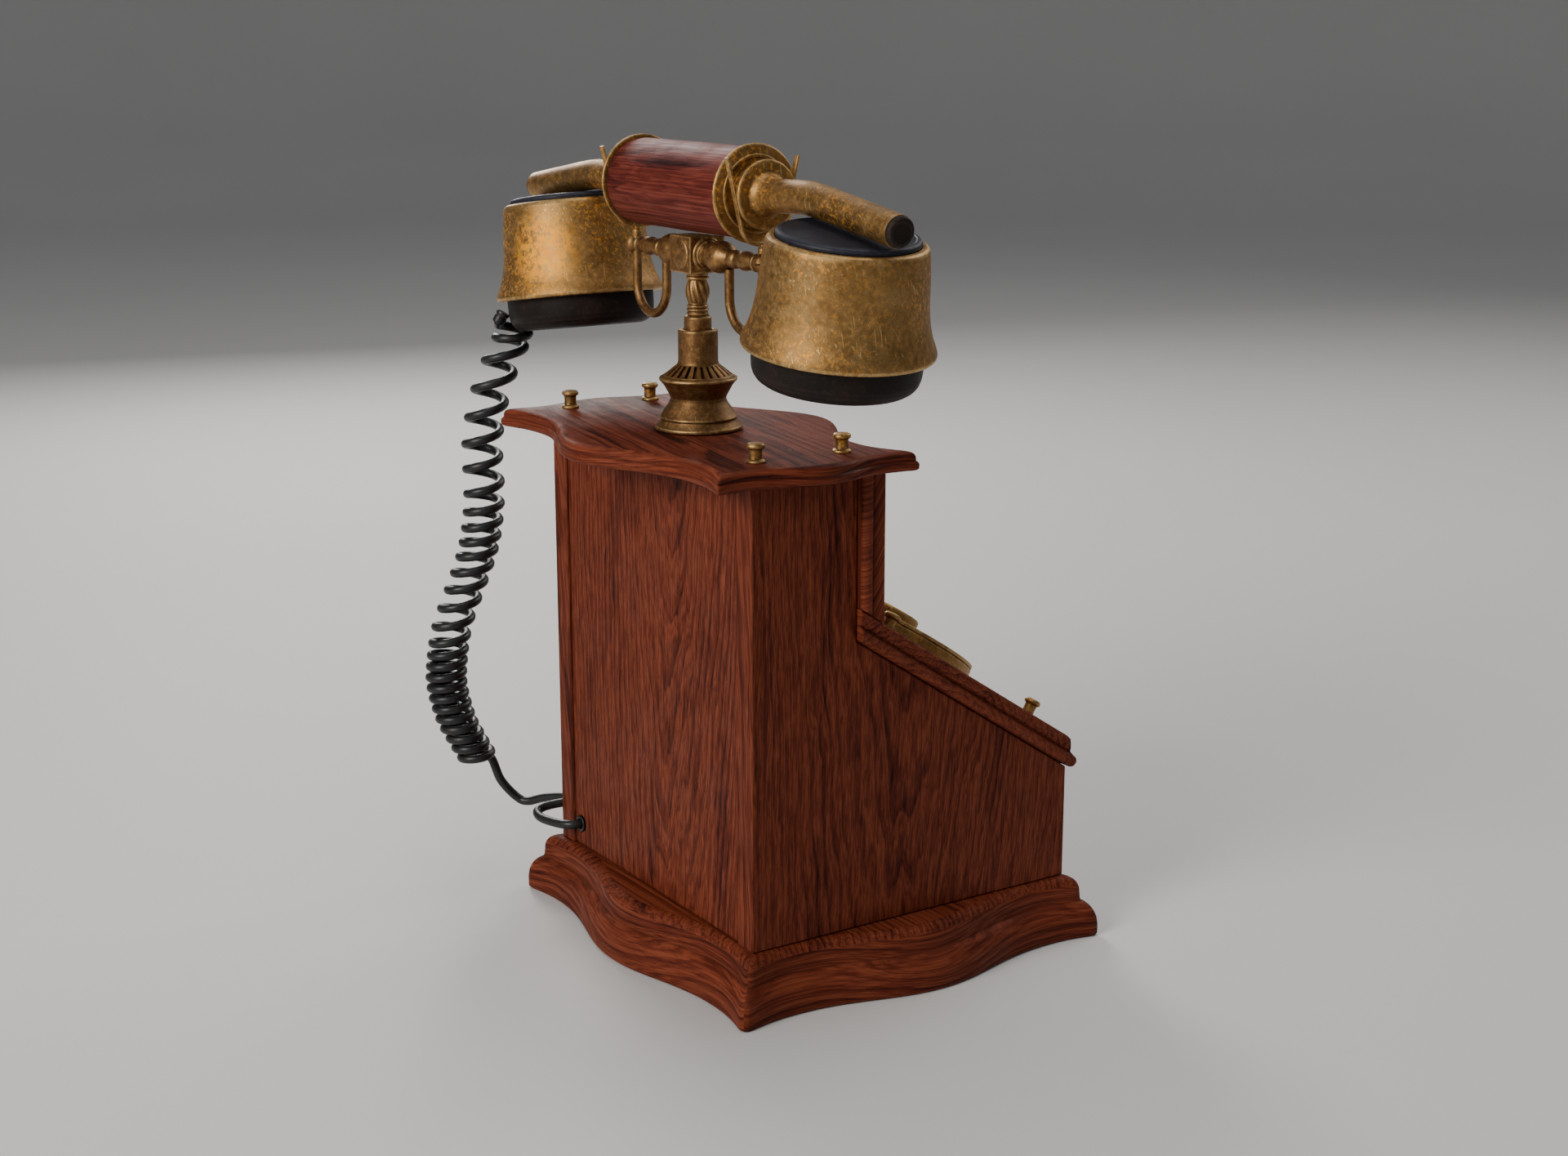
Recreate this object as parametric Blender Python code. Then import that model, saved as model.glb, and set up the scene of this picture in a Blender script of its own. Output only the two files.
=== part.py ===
"""A wooden desk telephone with a cradle, a dial and a magneto crank, as separate parts.

Metres, +Z up. The front faces -Y and +X is the right-hand side seen from the front. The origin is
on the table, under the middle of the telephone. Run it in Blender 4.5.
"""
import bmesh
import bpy
from math import cos, pi, radians, sin, tan
from mathutils import Matrix, Quaternion, Vector

GAP = 0.0003                 # clearance between pieces that touch

# Cabinet
HALF_WIDTH = 0.080
REAR_Y = 0.072
NECK_Y = 0.0235              # front edge of the side boards' upper part
FRONT_Y = -0.085
PLINTH_TOP = 0.0258
BODY_TOP = 0.2129
TABLE_TOP = 0.2206           # upper face of the top board
SIDE_THICKNESS = 0.011
PANEL_THICKNESS = 0.010
BOARD_THICKNESS = 0.011      # sloping board and upper front board
BOARD_HALF_WIDTH = 0.0845
SLOPE_START = Vector((0.0, 0.0223, 0.1453))     # top end of the sloping board's underside
SLOPE_ANGLE = radians(33.2)
SLOPE_DOWN = Vector((0.0, -cos(SLOPE_ANGLE), -sin(SLOPE_ANGLE)))
SLOPE_NORMAL = Vector((0.0, -sin(SLOPE_ANGLE), cos(SLOPE_ANGLE)))

# Column, cradle and handset stand over this line across the cabinet
COLUMN_Y = 0.0467
ARM_Z = 0.2915               # axis of the cradle's arms
GRIP_Z = 0.3177              # axis of the handset's grip
FORK_X = 0.0487
CUP_X = 0.100                # centre of a cup's mouth ring
CUP_Z = 0.2646
CUP_TILT = radians(8.52)
ARM_SIDES = 20

# Dial, on the sloping board
DIAL_DISTANCE = 0.0680       # from the top end of the board to the dial's axis
DIAL_RADIUS = 0.044
FINGER_HOLE_RADIUS = 0.0055
FINGER_HOLE_PITCH = 0.0335
FIRST_HOLE = radians(60)
HOLE_STEP = radians(26.5)
STOP_ANGLE = radians(-25)
DIAL_GEAR_TEETH = 30
GOVERNOR_TEETH = 12
DIAL_MODULE = 0.0009

# Crank and magneto, on the right-hand side
CRANK_Y = -0.018
CRANK_Z = 0.080
CRANK_ARM = 0.042
CRANK_TEETH = 36
ARMATURE_TEETH = 12
MAGNETO_MODULE = 0.00125
MESH_PLAY = 0.0001           # added to each pair of gears' distance

# Ringer, on the rear panel's inner face
GONG_X = 0.0275
GONG_Z = 0.105
GONG_RADIUS = 0.022
CLAPPER_Z = 0.143
RINGER_COIL_Z = 0.160

# Handset cord
COIL_RADIUS = 0.0094
CABLE_RADIUS = 0.0020

COLOURS = {
    "mahogany": ((0.19, 0.045, 0.024), 0.45, 0.0),
    "dark_mahogany": ((0.14, 0.032, 0.018), 0.45, 0.0),
    "brass": ((0.50, 0.33, 0.12), 0.38, 1.0),
    "bronze": ((0.34, 0.20, 0.085), 0.42, 1.0),
    "bakelite": ((0.028, 0.024, 0.026), 0.45, 0.0),
    "blue_black": ((0.020, 0.022, 0.030), 0.45, 0.0),
    "rubber": ((0.015, 0.015, 0.016), 0.40, 0.0),
    "enamel": ((0.75, 0.72, 0.62), 0.30, 0.0),
    "steel": ((0.45, 0.45, 0.46), 0.35, 1.0),
    "iron": ((0.10, 0.10, 0.11), 0.60, 1.0),
    "copper": ((0.60, 0.28, 0.13), 0.40, 1.0),
}


# ---------------------------------------------------------------- helpers
def clear_scene():
    for old in list(bpy.data.objects):
        bpy.data.objects.remove(old)


def material(name):
    found = bpy.data.materials.get(name)
    if found:
        return found
    colour, roughness, metallic = COLOURS[name]
    made = bpy.data.materials.new(name)
    made.use_nodes = True
    shader = made.node_tree.nodes["Principled BSDF"]
    shader.inputs["Base Color"].default_value = (*colour, 1.0)
    shader.inputs["Roughness"].default_value = roughness
    shader.inputs["Metallic"].default_value = metallic
    return made


def frame(name, place=(0, 0, 0), turn=None):
    """An empty that pieces are placed on. turn is a quaternion."""
    made = bpy.data.objects.new(name, None)
    made.location = place
    made.rotation_mode = "QUATERNION"
    made.rotation_quaternion = turn or Quaternion()
    bpy.context.scene.collection.objects.link(made)
    return made


def put(name, bm, finish, parent=None, place=(0, 0, 0), turn=None):
    """Turns a bmesh into a named object with outward faces."""
    bmesh.ops.recalc_face_normals(bm, faces=bm.faces)
    mesh = bpy.data.meshes.new(name)
    bm.to_mesh(mesh)
    bm.free()
    mesh.shade_smooth()
    mesh.set_sharp_from_angle(angle=radians(35))
    mesh.materials.append(material(finish))
    made = bpy.data.objects.new(name, mesh)
    made.location = place
    made.rotation_mode = "QUATERNION"
    made.rotation_quaternion = turn or Quaternion()
    made.parent = parent
    bpy.context.scene.collection.objects.link(made)
    return made


def skin(rings, ring_closed=False):
    """A closed body through rings of equal numbers of points. A ring of one point is a tip."""
    bm = bmesh.new()
    rows = [[bm.verts.new(p) for p in ring] for ring in rings]
    pairs = list(zip(rows, rows[1:]))
    if ring_closed:
        pairs.append((rows[-1], rows[0]))
    for a, b in pairs:
        count = max(len(a), len(b))
        for i in range(count):
            j = (i + 1) % count
            corners = [a[i % len(a)], a[j % len(a)], b[j % len(b)], b[i % len(b)]]
            bm.faces.new(list(dict.fromkeys(corners)))
    if not ring_closed:
        for row in (rows[0], rows[-1]):
            if len(row) > 2:
                bm.faces.new(row)
    return bm


def skins(bodies):
    """Several closed bodies in one mesh, for a tool that cuts in several places."""
    bm = bmesh.new()
    for rings in bodies:
        part = skin(rings)
        mesh = bpy.data.meshes.new("part")
        part.to_mesh(mesh)
        part.free()
        bm.from_mesh(mesh)
        bpy.data.meshes.remove(mesh)
    return bm


def circle(radius, height, segments, phase=0.0):
    if radius == 0:
        return [Vector((0, 0, height))]
    angles = [phase + 2 * pi * i / segments for i in range(segments)]
    return [Vector((radius * cos(a), radius * sin(a), height)) for a in angles]


def turned(profile, segments, hollow=False):
    """A lathe shape about Z from (radius, height) points. A hollow one's profile closes on itself."""
    return skin([circle(r, z, segments) for r, z in profile], hollow)


def prism(outline, low, high):
    """An outline in X and Y, pushed from one height to another."""
    return skin([[Vector((x, y, z)) for x, y in outline] for z in (low, high)])


def block(low, high):
    (x0, y0, z0), (x1, y1, z1) = low, high
    return prism([(x0, y0), (x1, y0), (x1, y1), (x0, y1)], z0, z1)


def moved(bm, place=(0, 0, 0), turn=None):
    matrix = Matrix.Translation(place) @ (turn or Quaternion()).to_matrix().to_4x4()
    bmesh.ops.transform(bm, matrix=matrix, verts=bm.verts)
    return bm


def cut_or_join(target, bm, operation):
    """A Boolean with a hidden helper that shares the target's parent and place."""
    helper = put(target.name + "_tool", bm, "steel", target.parent, target.location, target.rotation_quaternion)
    helper.hide_render = True
    helper.display_type = "WIRE"
    change = target.modifiers.new(operation.lower(), "BOOLEAN")
    change.operation = operation
    change.object = helper


def cut(target, bm):
    cut_or_join(target, bm, "DIFFERENCE")


def join(target, bm):
    cut_or_join(target, bm, "UNION")


def turn_between(start, end):
    return Vector(start).rotation_difference(Vector(end))


TO_X = turn_between((0, 0, 1), (1, 0, 0))
TO_FRONT = turn_between((0, 0, 1), (0, -1, 0))
TO_SLOPE = turn_between((0, 0, 1), SLOPE_NORMAL)


def smooth_path(points, count):
    """Points at even spacing along a Catmull-Rom curve through the given ones."""
    points = [Vector(p) for p in points]
    ends = [2 * points[0] - points[1]] + points + [2 * points[-1] - points[-2]]
    fine = []
    for a, b, c, d in zip(ends, ends[1:], ends[2:], ends[3:]):
        for k in range(24):
            t = k / 24
            fine.append(0.5 * (2 * b + (c - a) * t + (2 * a - 5 * b + 4 * c - d) * t ** 2
                               + (3 * b - a - 3 * c + d) * t ** 3))
    fine.append(points[-1])
    along = [0.0]
    for a, b in zip(fine, fine[1:]):
        along.append(along[-1] + (b - a).length)
    result, k = [], 0
    for i in range(count):
        wanted = along[-1] * i / (count - 1)
        while k < len(fine) - 2 and along[k + 1] < wanted:
            k += 1
        share = (wanted - along[k]) / (along[k + 1] - along[k])
        result.append(fine[k].lerp(fine[k + 1], share))
    return result


def tube_rings(path, radii, segments, side=Vector((0, 1, 0))):
    """Circles square to a path that stays in the plane whose normal is side."""
    rings = []
    for i, (point, radius) in enumerate(zip(path, radii)):
        ahead = (path[min(i + 1, len(path) - 1)] - path[max(i - 1, 0)]).normalized()
        other = ahead.cross(side).normalized()
        angles = [2 * pi * k / segments for k in range(segments)]
        rings.append([point + radius * (cos(a) * side + sin(a) * other) for a in angles])
    return rings


def strap_rings(path, width, thickness, side=Vector((1, 0, 0))):
    """Rectangles square to a path that stays in the plane whose normal is side."""
    rings = []
    for i, point in enumerate(path):
        ahead = (path[min(i + 1, len(path) - 1)] - path[max(i - 1, 0)]).normalized()
        other = ahead.cross(side).normalized() * thickness / 2
        across = side * width / 2
        rings.append([point + across + other, point - across + other,
                      point - across - other, point + across - other])
    return rings


def gear_outline(teeth, module):
    """Straight-sided teeth, thin enough to run with play."""
    pitch_radius = teeth * module / 2
    half = pi / (2 * teeth)
    outline = []
    for i in range(teeth):
        middle = 2 * pi * i / teeth
        for share, rise in ((-1.45, -1.2), (-0.42, 0.85), (0.42, 0.85), (1.45, -1.2)):
            angle = middle + share * half
            radius = pitch_radius + rise * module
            outline.append((radius * cos(angle), radius * sin(angle)))
    return outline


def rotated(outline, angle):
    return [(x * cos(angle) - y * sin(angle), x * sin(angle) + y * cos(angle)) for x, y in outline]


def rounded_corners(outline, steps, share, parts=3):
    """Rounds an outline's corners, which are at every steps-th point, from a share of the last segment on."""
    result, n = [], len(outline)
    for i, point in enumerate(outline):
        if i % steps:
            result.append(point)
            continue
        corner = Vector(point)
        start = Vector(outline[i - 1]).lerp(corner, share)
        end = Vector(outline[(i + 1) % n]).lerp(corner, share)
        for k in range(parts + 1):
            t = k / parts
            q = start * (1 - t) ** 2 + corner * 2 * t * (1 - t) + end * t ** 2
            result.append((q.x, q.y))
    return result


def serpentine(half_x, rear, front, waves, inset, steps, share):
    """A board's outline: a belly in the middle of each side, a dip beside it and rounded corners.

    waves gives (dip, belly) for the rear, the sides and the front, outward positive.
    """
    turn_point = 0.72

    def wave(u, dip, belly):
        a = abs(u)
        if a <= turn_point:
            return dip + (belly - dip) * ((1 + cos(pi * a / turn_point)) / 2) ** 1.2
        k = (a - turn_point) / (1 - turn_point)
        return dip * (1 - k * k)

    half_x -= inset
    rear -= inset
    front += inset
    middle, half_y = (rear + front) / 2, (rear - front) / 2
    rear_wave, side_wave, front_wave = waves
    outline = []
    for k in range(steps):
        u = 2 * k / steps - 1
        outline.append((-half_x * u, rear + wave(u, *rear_wave)))
    for k in range(steps):
        u = 2 * k / steps - 1
        outline.append((-half_x - wave(u, *side_wave), middle - half_y * u))
    for k in range(steps):
        u = 2 * k / steps - 1
        outline.append((half_x * u, front - wave(u, *front_wave)))
    for k in range(steps):
        u = 2 * k / steps - 1
        outline.append((half_x + wave(u, *side_wave), middle + half_y * u))
    return rounded_corners(outline, steps, share)


def slope_underside(y):
    """Height of the sloping board's underside."""
    return SLOPE_START.z + (y - SLOPE_START.y) * tan(SLOPE_ANGLE)


def slope_top(y):
    return slope_underside(y) + BOARD_THICKNESS / cos(SLOPE_ANGLE)


def on_slope(x, along, above):
    """A point by its distance down the sloping board and its height over the board's face."""
    return Vector((x, 0, 0)) + SLOPE_START + SLOPE_DOWN * along + SLOPE_NORMAL * (BOARD_THICKNESS + above)


# ---------------------------------------------------------------- cabinet
def make_plinth():
    profile = [(0.0006, 0.0), (0.0, 0.0018), (0.0004, 0.0085), (0.0022, 0.0130), (0.0055, 0.0160),
               (0.0062, 0.0226), (0.0100, PLINTH_TOP)]
    wave = (-0.0045, 0.0069)
    rings = []
    for inset, z in profile:
        outline = serpentine(0.0942, REAR_Y + 0.0140, FRONT_Y - 0.0126, (wave, wave, wave), inset, 10, 0.64)
        rings.append([Vector((x, y, z)) for x, y in outline])
    put("plinth", skin(rings), "mahogany")


def make_side_panels():
    bottom, top = PLINTH_TOP + GAP, BODY_TOP - GAP
    outline = [(REAR_Y, bottom), (FRONT_Y, bottom), (FRONT_Y, slope_underside(FRONT_Y) - GAP),
               (NECK_Y, slope_underside(NECK_Y) - GAP), (NECK_Y, top), (REAR_Y, top)]
    for side, x0 in (("left", -HALF_WIDTH), ("right", HALF_WIDTH - SIDE_THICKNESS)):
        rings = [[Vector((x, y, z)) for y, z in outline] for x in (x0, x0 + SIDE_THICKNESS)]
        panel = put("side_panel_" + side, skin(rings), "mahogany")
        if side == "right":
            hole = turned([(0, -0.02), (0.0053, -0.02), (0.0053, 0.02), (0, 0.02)], 24)
            cut(panel, moved(hole, (HALF_WIDTH, CRANK_Y, CRANK_Z), TO_X))


def make_panels():
    half = HALF_WIDTH - SIDE_THICKNESS - GAP
    bottom, top = PLINTH_TOP + GAP, BODY_TOP - GAP
    rear = put("rear_panel", block((-half, REAR_Y - 0.0008 - PANEL_THICKNESS, bottom), (half, REAR_Y - 0.0008, top)),
               "mahogany")
    hole = turned([(0, -0.02), (0.0032, -0.02), (0.0032, 0.02), (0, 0.02)], 16)
    cut(rear, moved(hole, (CORD_HOLE.x, REAR_Y, CORD_HOLE.z), TO_FRONT))
    y0, y1 = FRONT_Y + 0.0008, FRONT_Y + 0.0008 + PANEL_THICKNESS
    outline = [(y0, bottom), (y1, bottom), (y1, slope_underside(y1) - GAP), (y0, slope_underside(y0) - GAP)]
    rings = [[Vector((x, y, z)) for y, z in outline] for x in (-half, half)]
    put("lower_front_panel", skin(rings), "mahogany")


# distance from a board's inner face, and how far its moulded edge steps in there
BOARD_EDGE = [(0.0, 0.0012), (0.0012, 0.0), (0.0044, 0.0), (0.0056, 0.0012), (0.0064, 0.0020),
              (0.0084, 0.0018), (0.0110, 0.0014)]


def make_upper_front_board():
    rings = []
    for depth, inset in BOARD_EDGE:
        y, x = NECK_Y - GAP - depth, BOARD_HALF_WIDTH - inset
        low, high = slope_top(y) + GAP / cos(SLOPE_ANGLE), BODY_TOP - GAP
        rings.append([Vector((-x, y, low)), Vector((x, y, low)), Vector((x, y, high)), Vector((-x, y, high))])
    put("upper_front_board", skin(rings), "mahogany")


def make_slope_board():
    nose = [0.1275, 0.1285, 0.1278, 0.1240, 0.1222, 0.1208, 0.1187]
    rings = []
    for (height, inset), end in zip(BOARD_EDGE, nose):
        x = BOARD_HALF_WIDTH - inset
        start = (SLOPE_START.y - NECK_Y + GAP - height * sin(SLOPE_ANGLE)) / cos(SLOPE_ANGLE)
        ring = []
        for sx, along in ((-x, start), (x, start), (x, end), (-x, end)):
            ring.append(on_slope(sx, along, height - BOARD_THICKNESS))
        rings.append(ring)
    board = put("slope_board", skin(rings), "mahogany")
    hole = turned([(0, -0.03), (0.0060, -0.03), (0.0060, 0.01), (0, 0.01)], 20)
    cut(board, moved(hole, on_slope(0, DIAL_DISTANCE, 0), TO_SLOPE))


def make_top_board():
    profile = [(0.0010, BODY_TOP), (0.0, 0.2138), (0.0, 0.2162), (0.0009, 0.2169), (0.0012, 0.2190),
               (0.0036, TABLE_TOP)]
    waves = ((-0.0050, 0.0124), (-0.0015, 0.0050), (-0.0080, 0.0145))
    rings = []
    for inset, z in profile:
        outline = serpentine(0.0899, REAR_Y + 0.0208, 0.0003, waves, inset, 10, 0.84)
        rings.append([Vector((x, y, z)) for x, y in outline])
    board = put("top_board", skin(rings), "mahogany")
    hole = turned([(0, 0.20), (0.0036, 0.20), (0.0036, 0.23), (0, 0.23)], 16)
    cut(board, moved(hole, (0, COLUMN_Y, 0)))


KNOB = [(0, 0), (0.0037, 0), (0.0037, 0.0009), (0.0026, 0.0014), (0.0026, 0.0053), (0.0035, 0.0057),
        (0.0035, 0.0067), (0.0027, 0.0075), (0, 0.0076)]


def make_knobs():
    for end, y in (("rear", 0.0663), ("front", 0.0271)):
        for side, x in (("left", -0.0742), ("right", 0.0742)):
            put(f"top_knob_{end}_{side}", turned(KNOB, 10), "brass", None, (x, y, TABLE_TOP + GAP))
    for end, along in (("upper", 0.0190), ("lower", 0.1070)):
        for side, x in (("left", -0.067), ("right", 0.067)):
            put(f"slope_knob_{end}_{side}", turned(KNOB, 10), "brass", None, on_slope(x, along, GAP), TO_SLOPE)


def make_column():
    """Turned foot, two cones and a sleeve with a bore in which the cradle's stem slides."""
    outer = [(0.0175, 0.2209), (0.0175, 0.2222), (0.0165, 0.2230), (0.0152, 0.2251), (0.0154, 0.2262),
             (0.0150, 0.2272), (0.0118, 0.2310), (0.0112, 0.2335), (0.0118, 0.2355), (0.0150, 0.2400),
             (0.0156, 0.2408), (0.0156, 0.2418), (0.0143, 0.2425), (0.0081, 0.2478), (0.0081, 0.2613)]
    bore = [(0.0058, 0.2613), (0.0058, 0.2500), (0.0032, 0.2500), (0.0032, 0.2209)]
    put("cradle_column", turned(outer + bore, 22, hollow=True), "bronze", None, (0, COLUMN_Y, 0))


# ---------------------------------------------------------------- cradle
def make_cradle():
    rest = frame("cradle_axis", (0, COLUMN_Y, 0))
    stem = [(0, 0.1900), (0.0022, 0.1900), (0.0026, 0.1906), (0.0026, 0.2505), (0.0056, 0.2505),
            (0.0056, 0.2666), (0.0043, 0.2667), (0.0043, 0.2708), (0.0038, 0.2716), (0.0047, 0.2745),
            (0.0047, 0.2780), (0.0038, 0.2812), (0.0042, 0.2818), (0.0042, 0.2839), (0, 0.2839)]
    put("cradle_stem", turned(stem, 14), "bronze", rest)

    bar = put("cradle_crossbar", block((-0.0080, -0.0080, 0.2842), (0.0080, 0.0080, 0.2989)), "bronze", rest)
    arm = [(0, 0.0040), (0.0071, 0.0040), (0.0071, 0.0092), (0.0051, 0.0100), (0.0049, 0.0114),
           (0.0060, 0.0152), (0.0065, 0.0185), (0.0058, 0.0222), (0.0034, 0.0258), (0.0030, 0.0266),
           (0.0037, 0.0278), (0.0036, 0.0305), (0.0028, 0.0322), (0.0039, 0.0370), (0.0024, 0.0438),
           (0.0035, 0.0450), (0.0035, 0.0462), (0.0022, 0.0468), (0.0036, 0.0482), (0.0042, 0.0500),
           (0.0036, 0.0520), (0, 0.0532)]
    for side in (1, -1):
        axis = turn_between((0, 0, 1), (side, 0, 0))
        join(bar, moved(turned(arm, 14), (0, 0, ARM_Z), axis))

    half_fork = [(0.0158, 0.3318), (0.0140, 0.3246), (0.0122, 0.3170), (0.0104, 0.3094), (0.0090, 0.3040),
                 (0.0064, 0.3004), (0.0034, 0.2990)]
    for name, side in (("left", -1), ("right", 1)):
        points = [Vector((side * FORK_X, y, z)) for y, z in half_fork]
        points.append(Vector((side * FORK_X, 0, 0.2987)))
        points += [Vector((side * FORK_X, -y, z)) for y, z in reversed(half_fork)]
        fork = put("cradle_fork_" + name, skin(strap_rings(points, 0.0024, 0.0011)), "brass", rest)
        pin = turned([(0, 0.2960), (0.0018, 0.2960), (0.0018, 0.2988), (0, 0.2988)], 12)
        join(fork, moved(pin, (side * FORK_X, 0, 0)))

    inner, outer = 0.0244, 0.0488
    middle, radius = (inner + outer) / 2, (outer - inner) / 2
    for name, side in (("left", -1), ("right", 1)):
        arc = [pi * k / 10 for k in range(11)]
        path = [Vector((inner, 0, 0.2850))]
        path += [Vector((middle - radius * cos(a), 0, 0.2760 - radius * sin(a))) for a in arc]
        path.append(Vector((outer, 0, 0.2868)))
        path = [Vector((side * p.x, p.y, p.z)) for p in path]
        put("cradle_loop_" + name, skin(tube_rings(path, [0.0019] * len(path), 8)), "brass", rest)


# ---------------------------------------------------------------- handset
def make_handset():
    rest = frame("handset_axis", (0, COLUMN_Y, 0))
    grip = [(0, -0.0424), (0.0172, -0.0424), (0.0175, -0.0400), (0.0175, 0.0400), (0.0172, 0.0424), (0, 0.0424)]
    put("handset_grip", turned(grip, 28), "mahogany", rest, (0, 0, GRIP_Z), TO_X)

    line = [(0.0533, 0.3177), (0.0620, 0.3178), (0.0720, 0.3181), (0.0820, 0.3181), (0.0940, 0.3167),
            (0.1065, 0.3148), (0.1200, 0.3128), (0.1370, 0.3102)]
    cups = (("left", -1, "transmitter"), ("right", 1, "receiver"))
    for name, side, use in cups:
        spool = [(0.0427, 0.0190), (0.0447, 0.0190), (0.04475, 0.0108), (0.0505, 0.0108), (0.05055, 0.0132),
                 (0.0526, 0.0132), (0.0530, 0.0078), (0.0560, 0.0066)]
        rings = [[Vector((x, r * cos(2 * pi * k / ARM_SIDES), GRIP_Z + r * sin(2 * pi * k / ARM_SIDES)))
                  for k in range(ARM_SIDES)]
                 for x, r in spool]
        curve = smooth_path([(x, 0, z) for x, z in line], 10)[1:]
        widths = [0.0060 + 0.0002 * sin(pi * i / 8) for i in range(len(curve))]
        rings += tube_rings(curve, widths, ARM_SIDES)
        rings = [[Vector((side * p.x, p.y, p.z)) for p in ring] for ring in rings]
        put("handset_arm_" + name, skin(rings), "brass", rest)

        ahead = (curve[-1] - curve[-2]).normalized()
        start = curve[-1] + ahead * GAP
        cap = turned([(0, 0), (0.0057, 0), (0.0057, 0.0014), (0.0050, 0.0020), (0, 0.0020)], 16)
        cap = moved(cap, (side * start.x, 0, start.z), turn_between((0, 0, 1), (side * ahead.x, 0, ahead.z)))
        put("arm_cap_" + name, cap, "bakelite", rest)

        tilt = turn_between((0, 0, 1), (side * sin(CUP_TILT), 0, cos(CUP_TILT)))
        centre = (side * CUP_X, 0, CUP_Z)
        outside = [(0.0363, 0.0), (0.0360, 0.0030), (0.0336, 0.0090), (0.0322, 0.0150), (0.0313, 0.0240),
                   (0.0304, 0.0370), (0.0297, 0.0403), (0.0268, 0.0410)]
        inside = [(0.0268, 0.0390), (0.0290, 0.0370), (0.0302, 0.0150), (0.0325, 0.0050), (0.0325, 0.0)]
        put(use + "_cup", turned(outside + inside, 28, hollow=True), "brass", rest, centre, tilt)
        lid = [(0, 0.0330), (0.0264, 0.0330), (0.0264, 0.0413), (0.0268, 0.0413), (0.0268, 0.0428),
               (0.0258, 0.0437), (0, 0.0437)]
        put(use + "_lid", turned(lid, 24), "blue_black", rest, centre, tilt)
        cap = [(0, -0.0110), (0.0120, -0.0112), (0.0200, -0.0130), (0.0249, -0.0134), (0.0293, -0.0118),
               (0.0318, -0.0060), (0.0320, 0.0042), (0, 0.0042)]
        put({"transmitter": "mouth_cap", "receiver": "ear_cap"}[use], turned(cap, 26), "bakelite", rest, centre, tilt)

    relief = turned([(0, 0), (0.0030, 0), (0.0028, 0.0016), (0.0024, 0.0052), (0, 0.0052)], 12)
    direction = (CORD_START - CORD_ROOT).normalized()
    put("cord_strain_relief", moved(relief, CORD_ROOT, turn_between((0, 0, 1), direction)), "rubber")


# ---------------------------------------------------------------- cord
CORD_HOLE = Vector((0.0635, 0.072, 0.0363))
CORD_ROOT = Vector((0.1176, 0.0757, 0.2572))
CORD_START = Vector((0.1191, 0.0784, 0.2521))
COIL_ROUTE = [(0.1180, 0.0724, 0.2446), (0.1180, 0.0769, 0.2364), (0.1180, 0.0831, 0.2242), (0.1180, 0.0870, 0.2118),
              (0.1180, 0.0890, 0.1995), (0.1180, 0.0886, 0.1780), (0.1180, 0.0904, 0.1624), (0.1180, 0.0936, 0.1497),
              (0.1180, 0.0993, 0.1353), (0.1180, 0.1060, 0.1193), (0.1180, 0.1092, 0.1030), (0.1180, 0.1086, 0.0918),
              (0.1180, 0.1050, 0.0769), (0.1180, 0.1002, 0.0667), (0.1180, 0.0955, 0.0575)]
CABLE_ROUTE = [(0.1180, 0.0932, 0.0560), (0.1180, 0.0900, 0.0520), (0.1176, 0.0837, 0.0432), (0.1150, 0.0770, 0.0345),
               (0.1110, 0.0735, 0.0332), (0.1040, 0.0690, 0.0360), (0.0960, 0.0644, 0.0380), (0.0905, 0.0622, 0.0386),
               (0.0868, 0.0640, 0.0389), (0.0862, 0.0672, 0.0388), (0.0880, 0.0722, 0.0382), (0.0890, 0.0772, 0.0374),
               (0.0875, 0.0808, 0.0364), (0.0815, 0.0818, 0.0356), (0.0725, 0.0795, 0.0356), (0.0660, 0.0768, 0.0361),
               (0.0636, 0.0735, 0.0363)]


def tube(name, route, radius, count, finish):
    """A round bar along a smooth curve through the route's points."""
    curve = bpy.data.curves.new(name, "CURVE")
    curve.dimensions = "3D"
    curve.bevel_depth = radius
    curve.bevel_resolution = 2
    curve.use_fill_caps = True
    points = smooth_path(route, count)
    line = curve.splines.new("POLY")
    line.points.add(len(points) - 1)
    for slot, point in zip(line.points, points):
        slot.co = (*point, 1.0)
    curve.materials.append(material(finish))
    made = bpy.data.objects.new(name, curve)
    bpy.context.scene.collection.objects.link(made)


def make_cord():
    tube("cord_coil", COIL_ROUTE, COIL_RADIUS, 16, "rubber")
    tube("cord_cable", CABLE_ROUTE, CABLE_RADIUS, 28, "rubber")
    ring = [(0.0022, -0.0110), (0.0022, 0.0011), (0.0040, 0.0011), (0.0042, 0.0), (0.0029, 0.0), (0.0029, -0.0110)]
    place = (CORD_HOLE.x, REAR_Y - 0.0005, CORD_HOLE.z)
    put("cord_grommet", turned(ring, 16, hollow=True), "rubber", None, place, turn_between((0, 0, 1), (0, 1, 0)))


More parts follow.
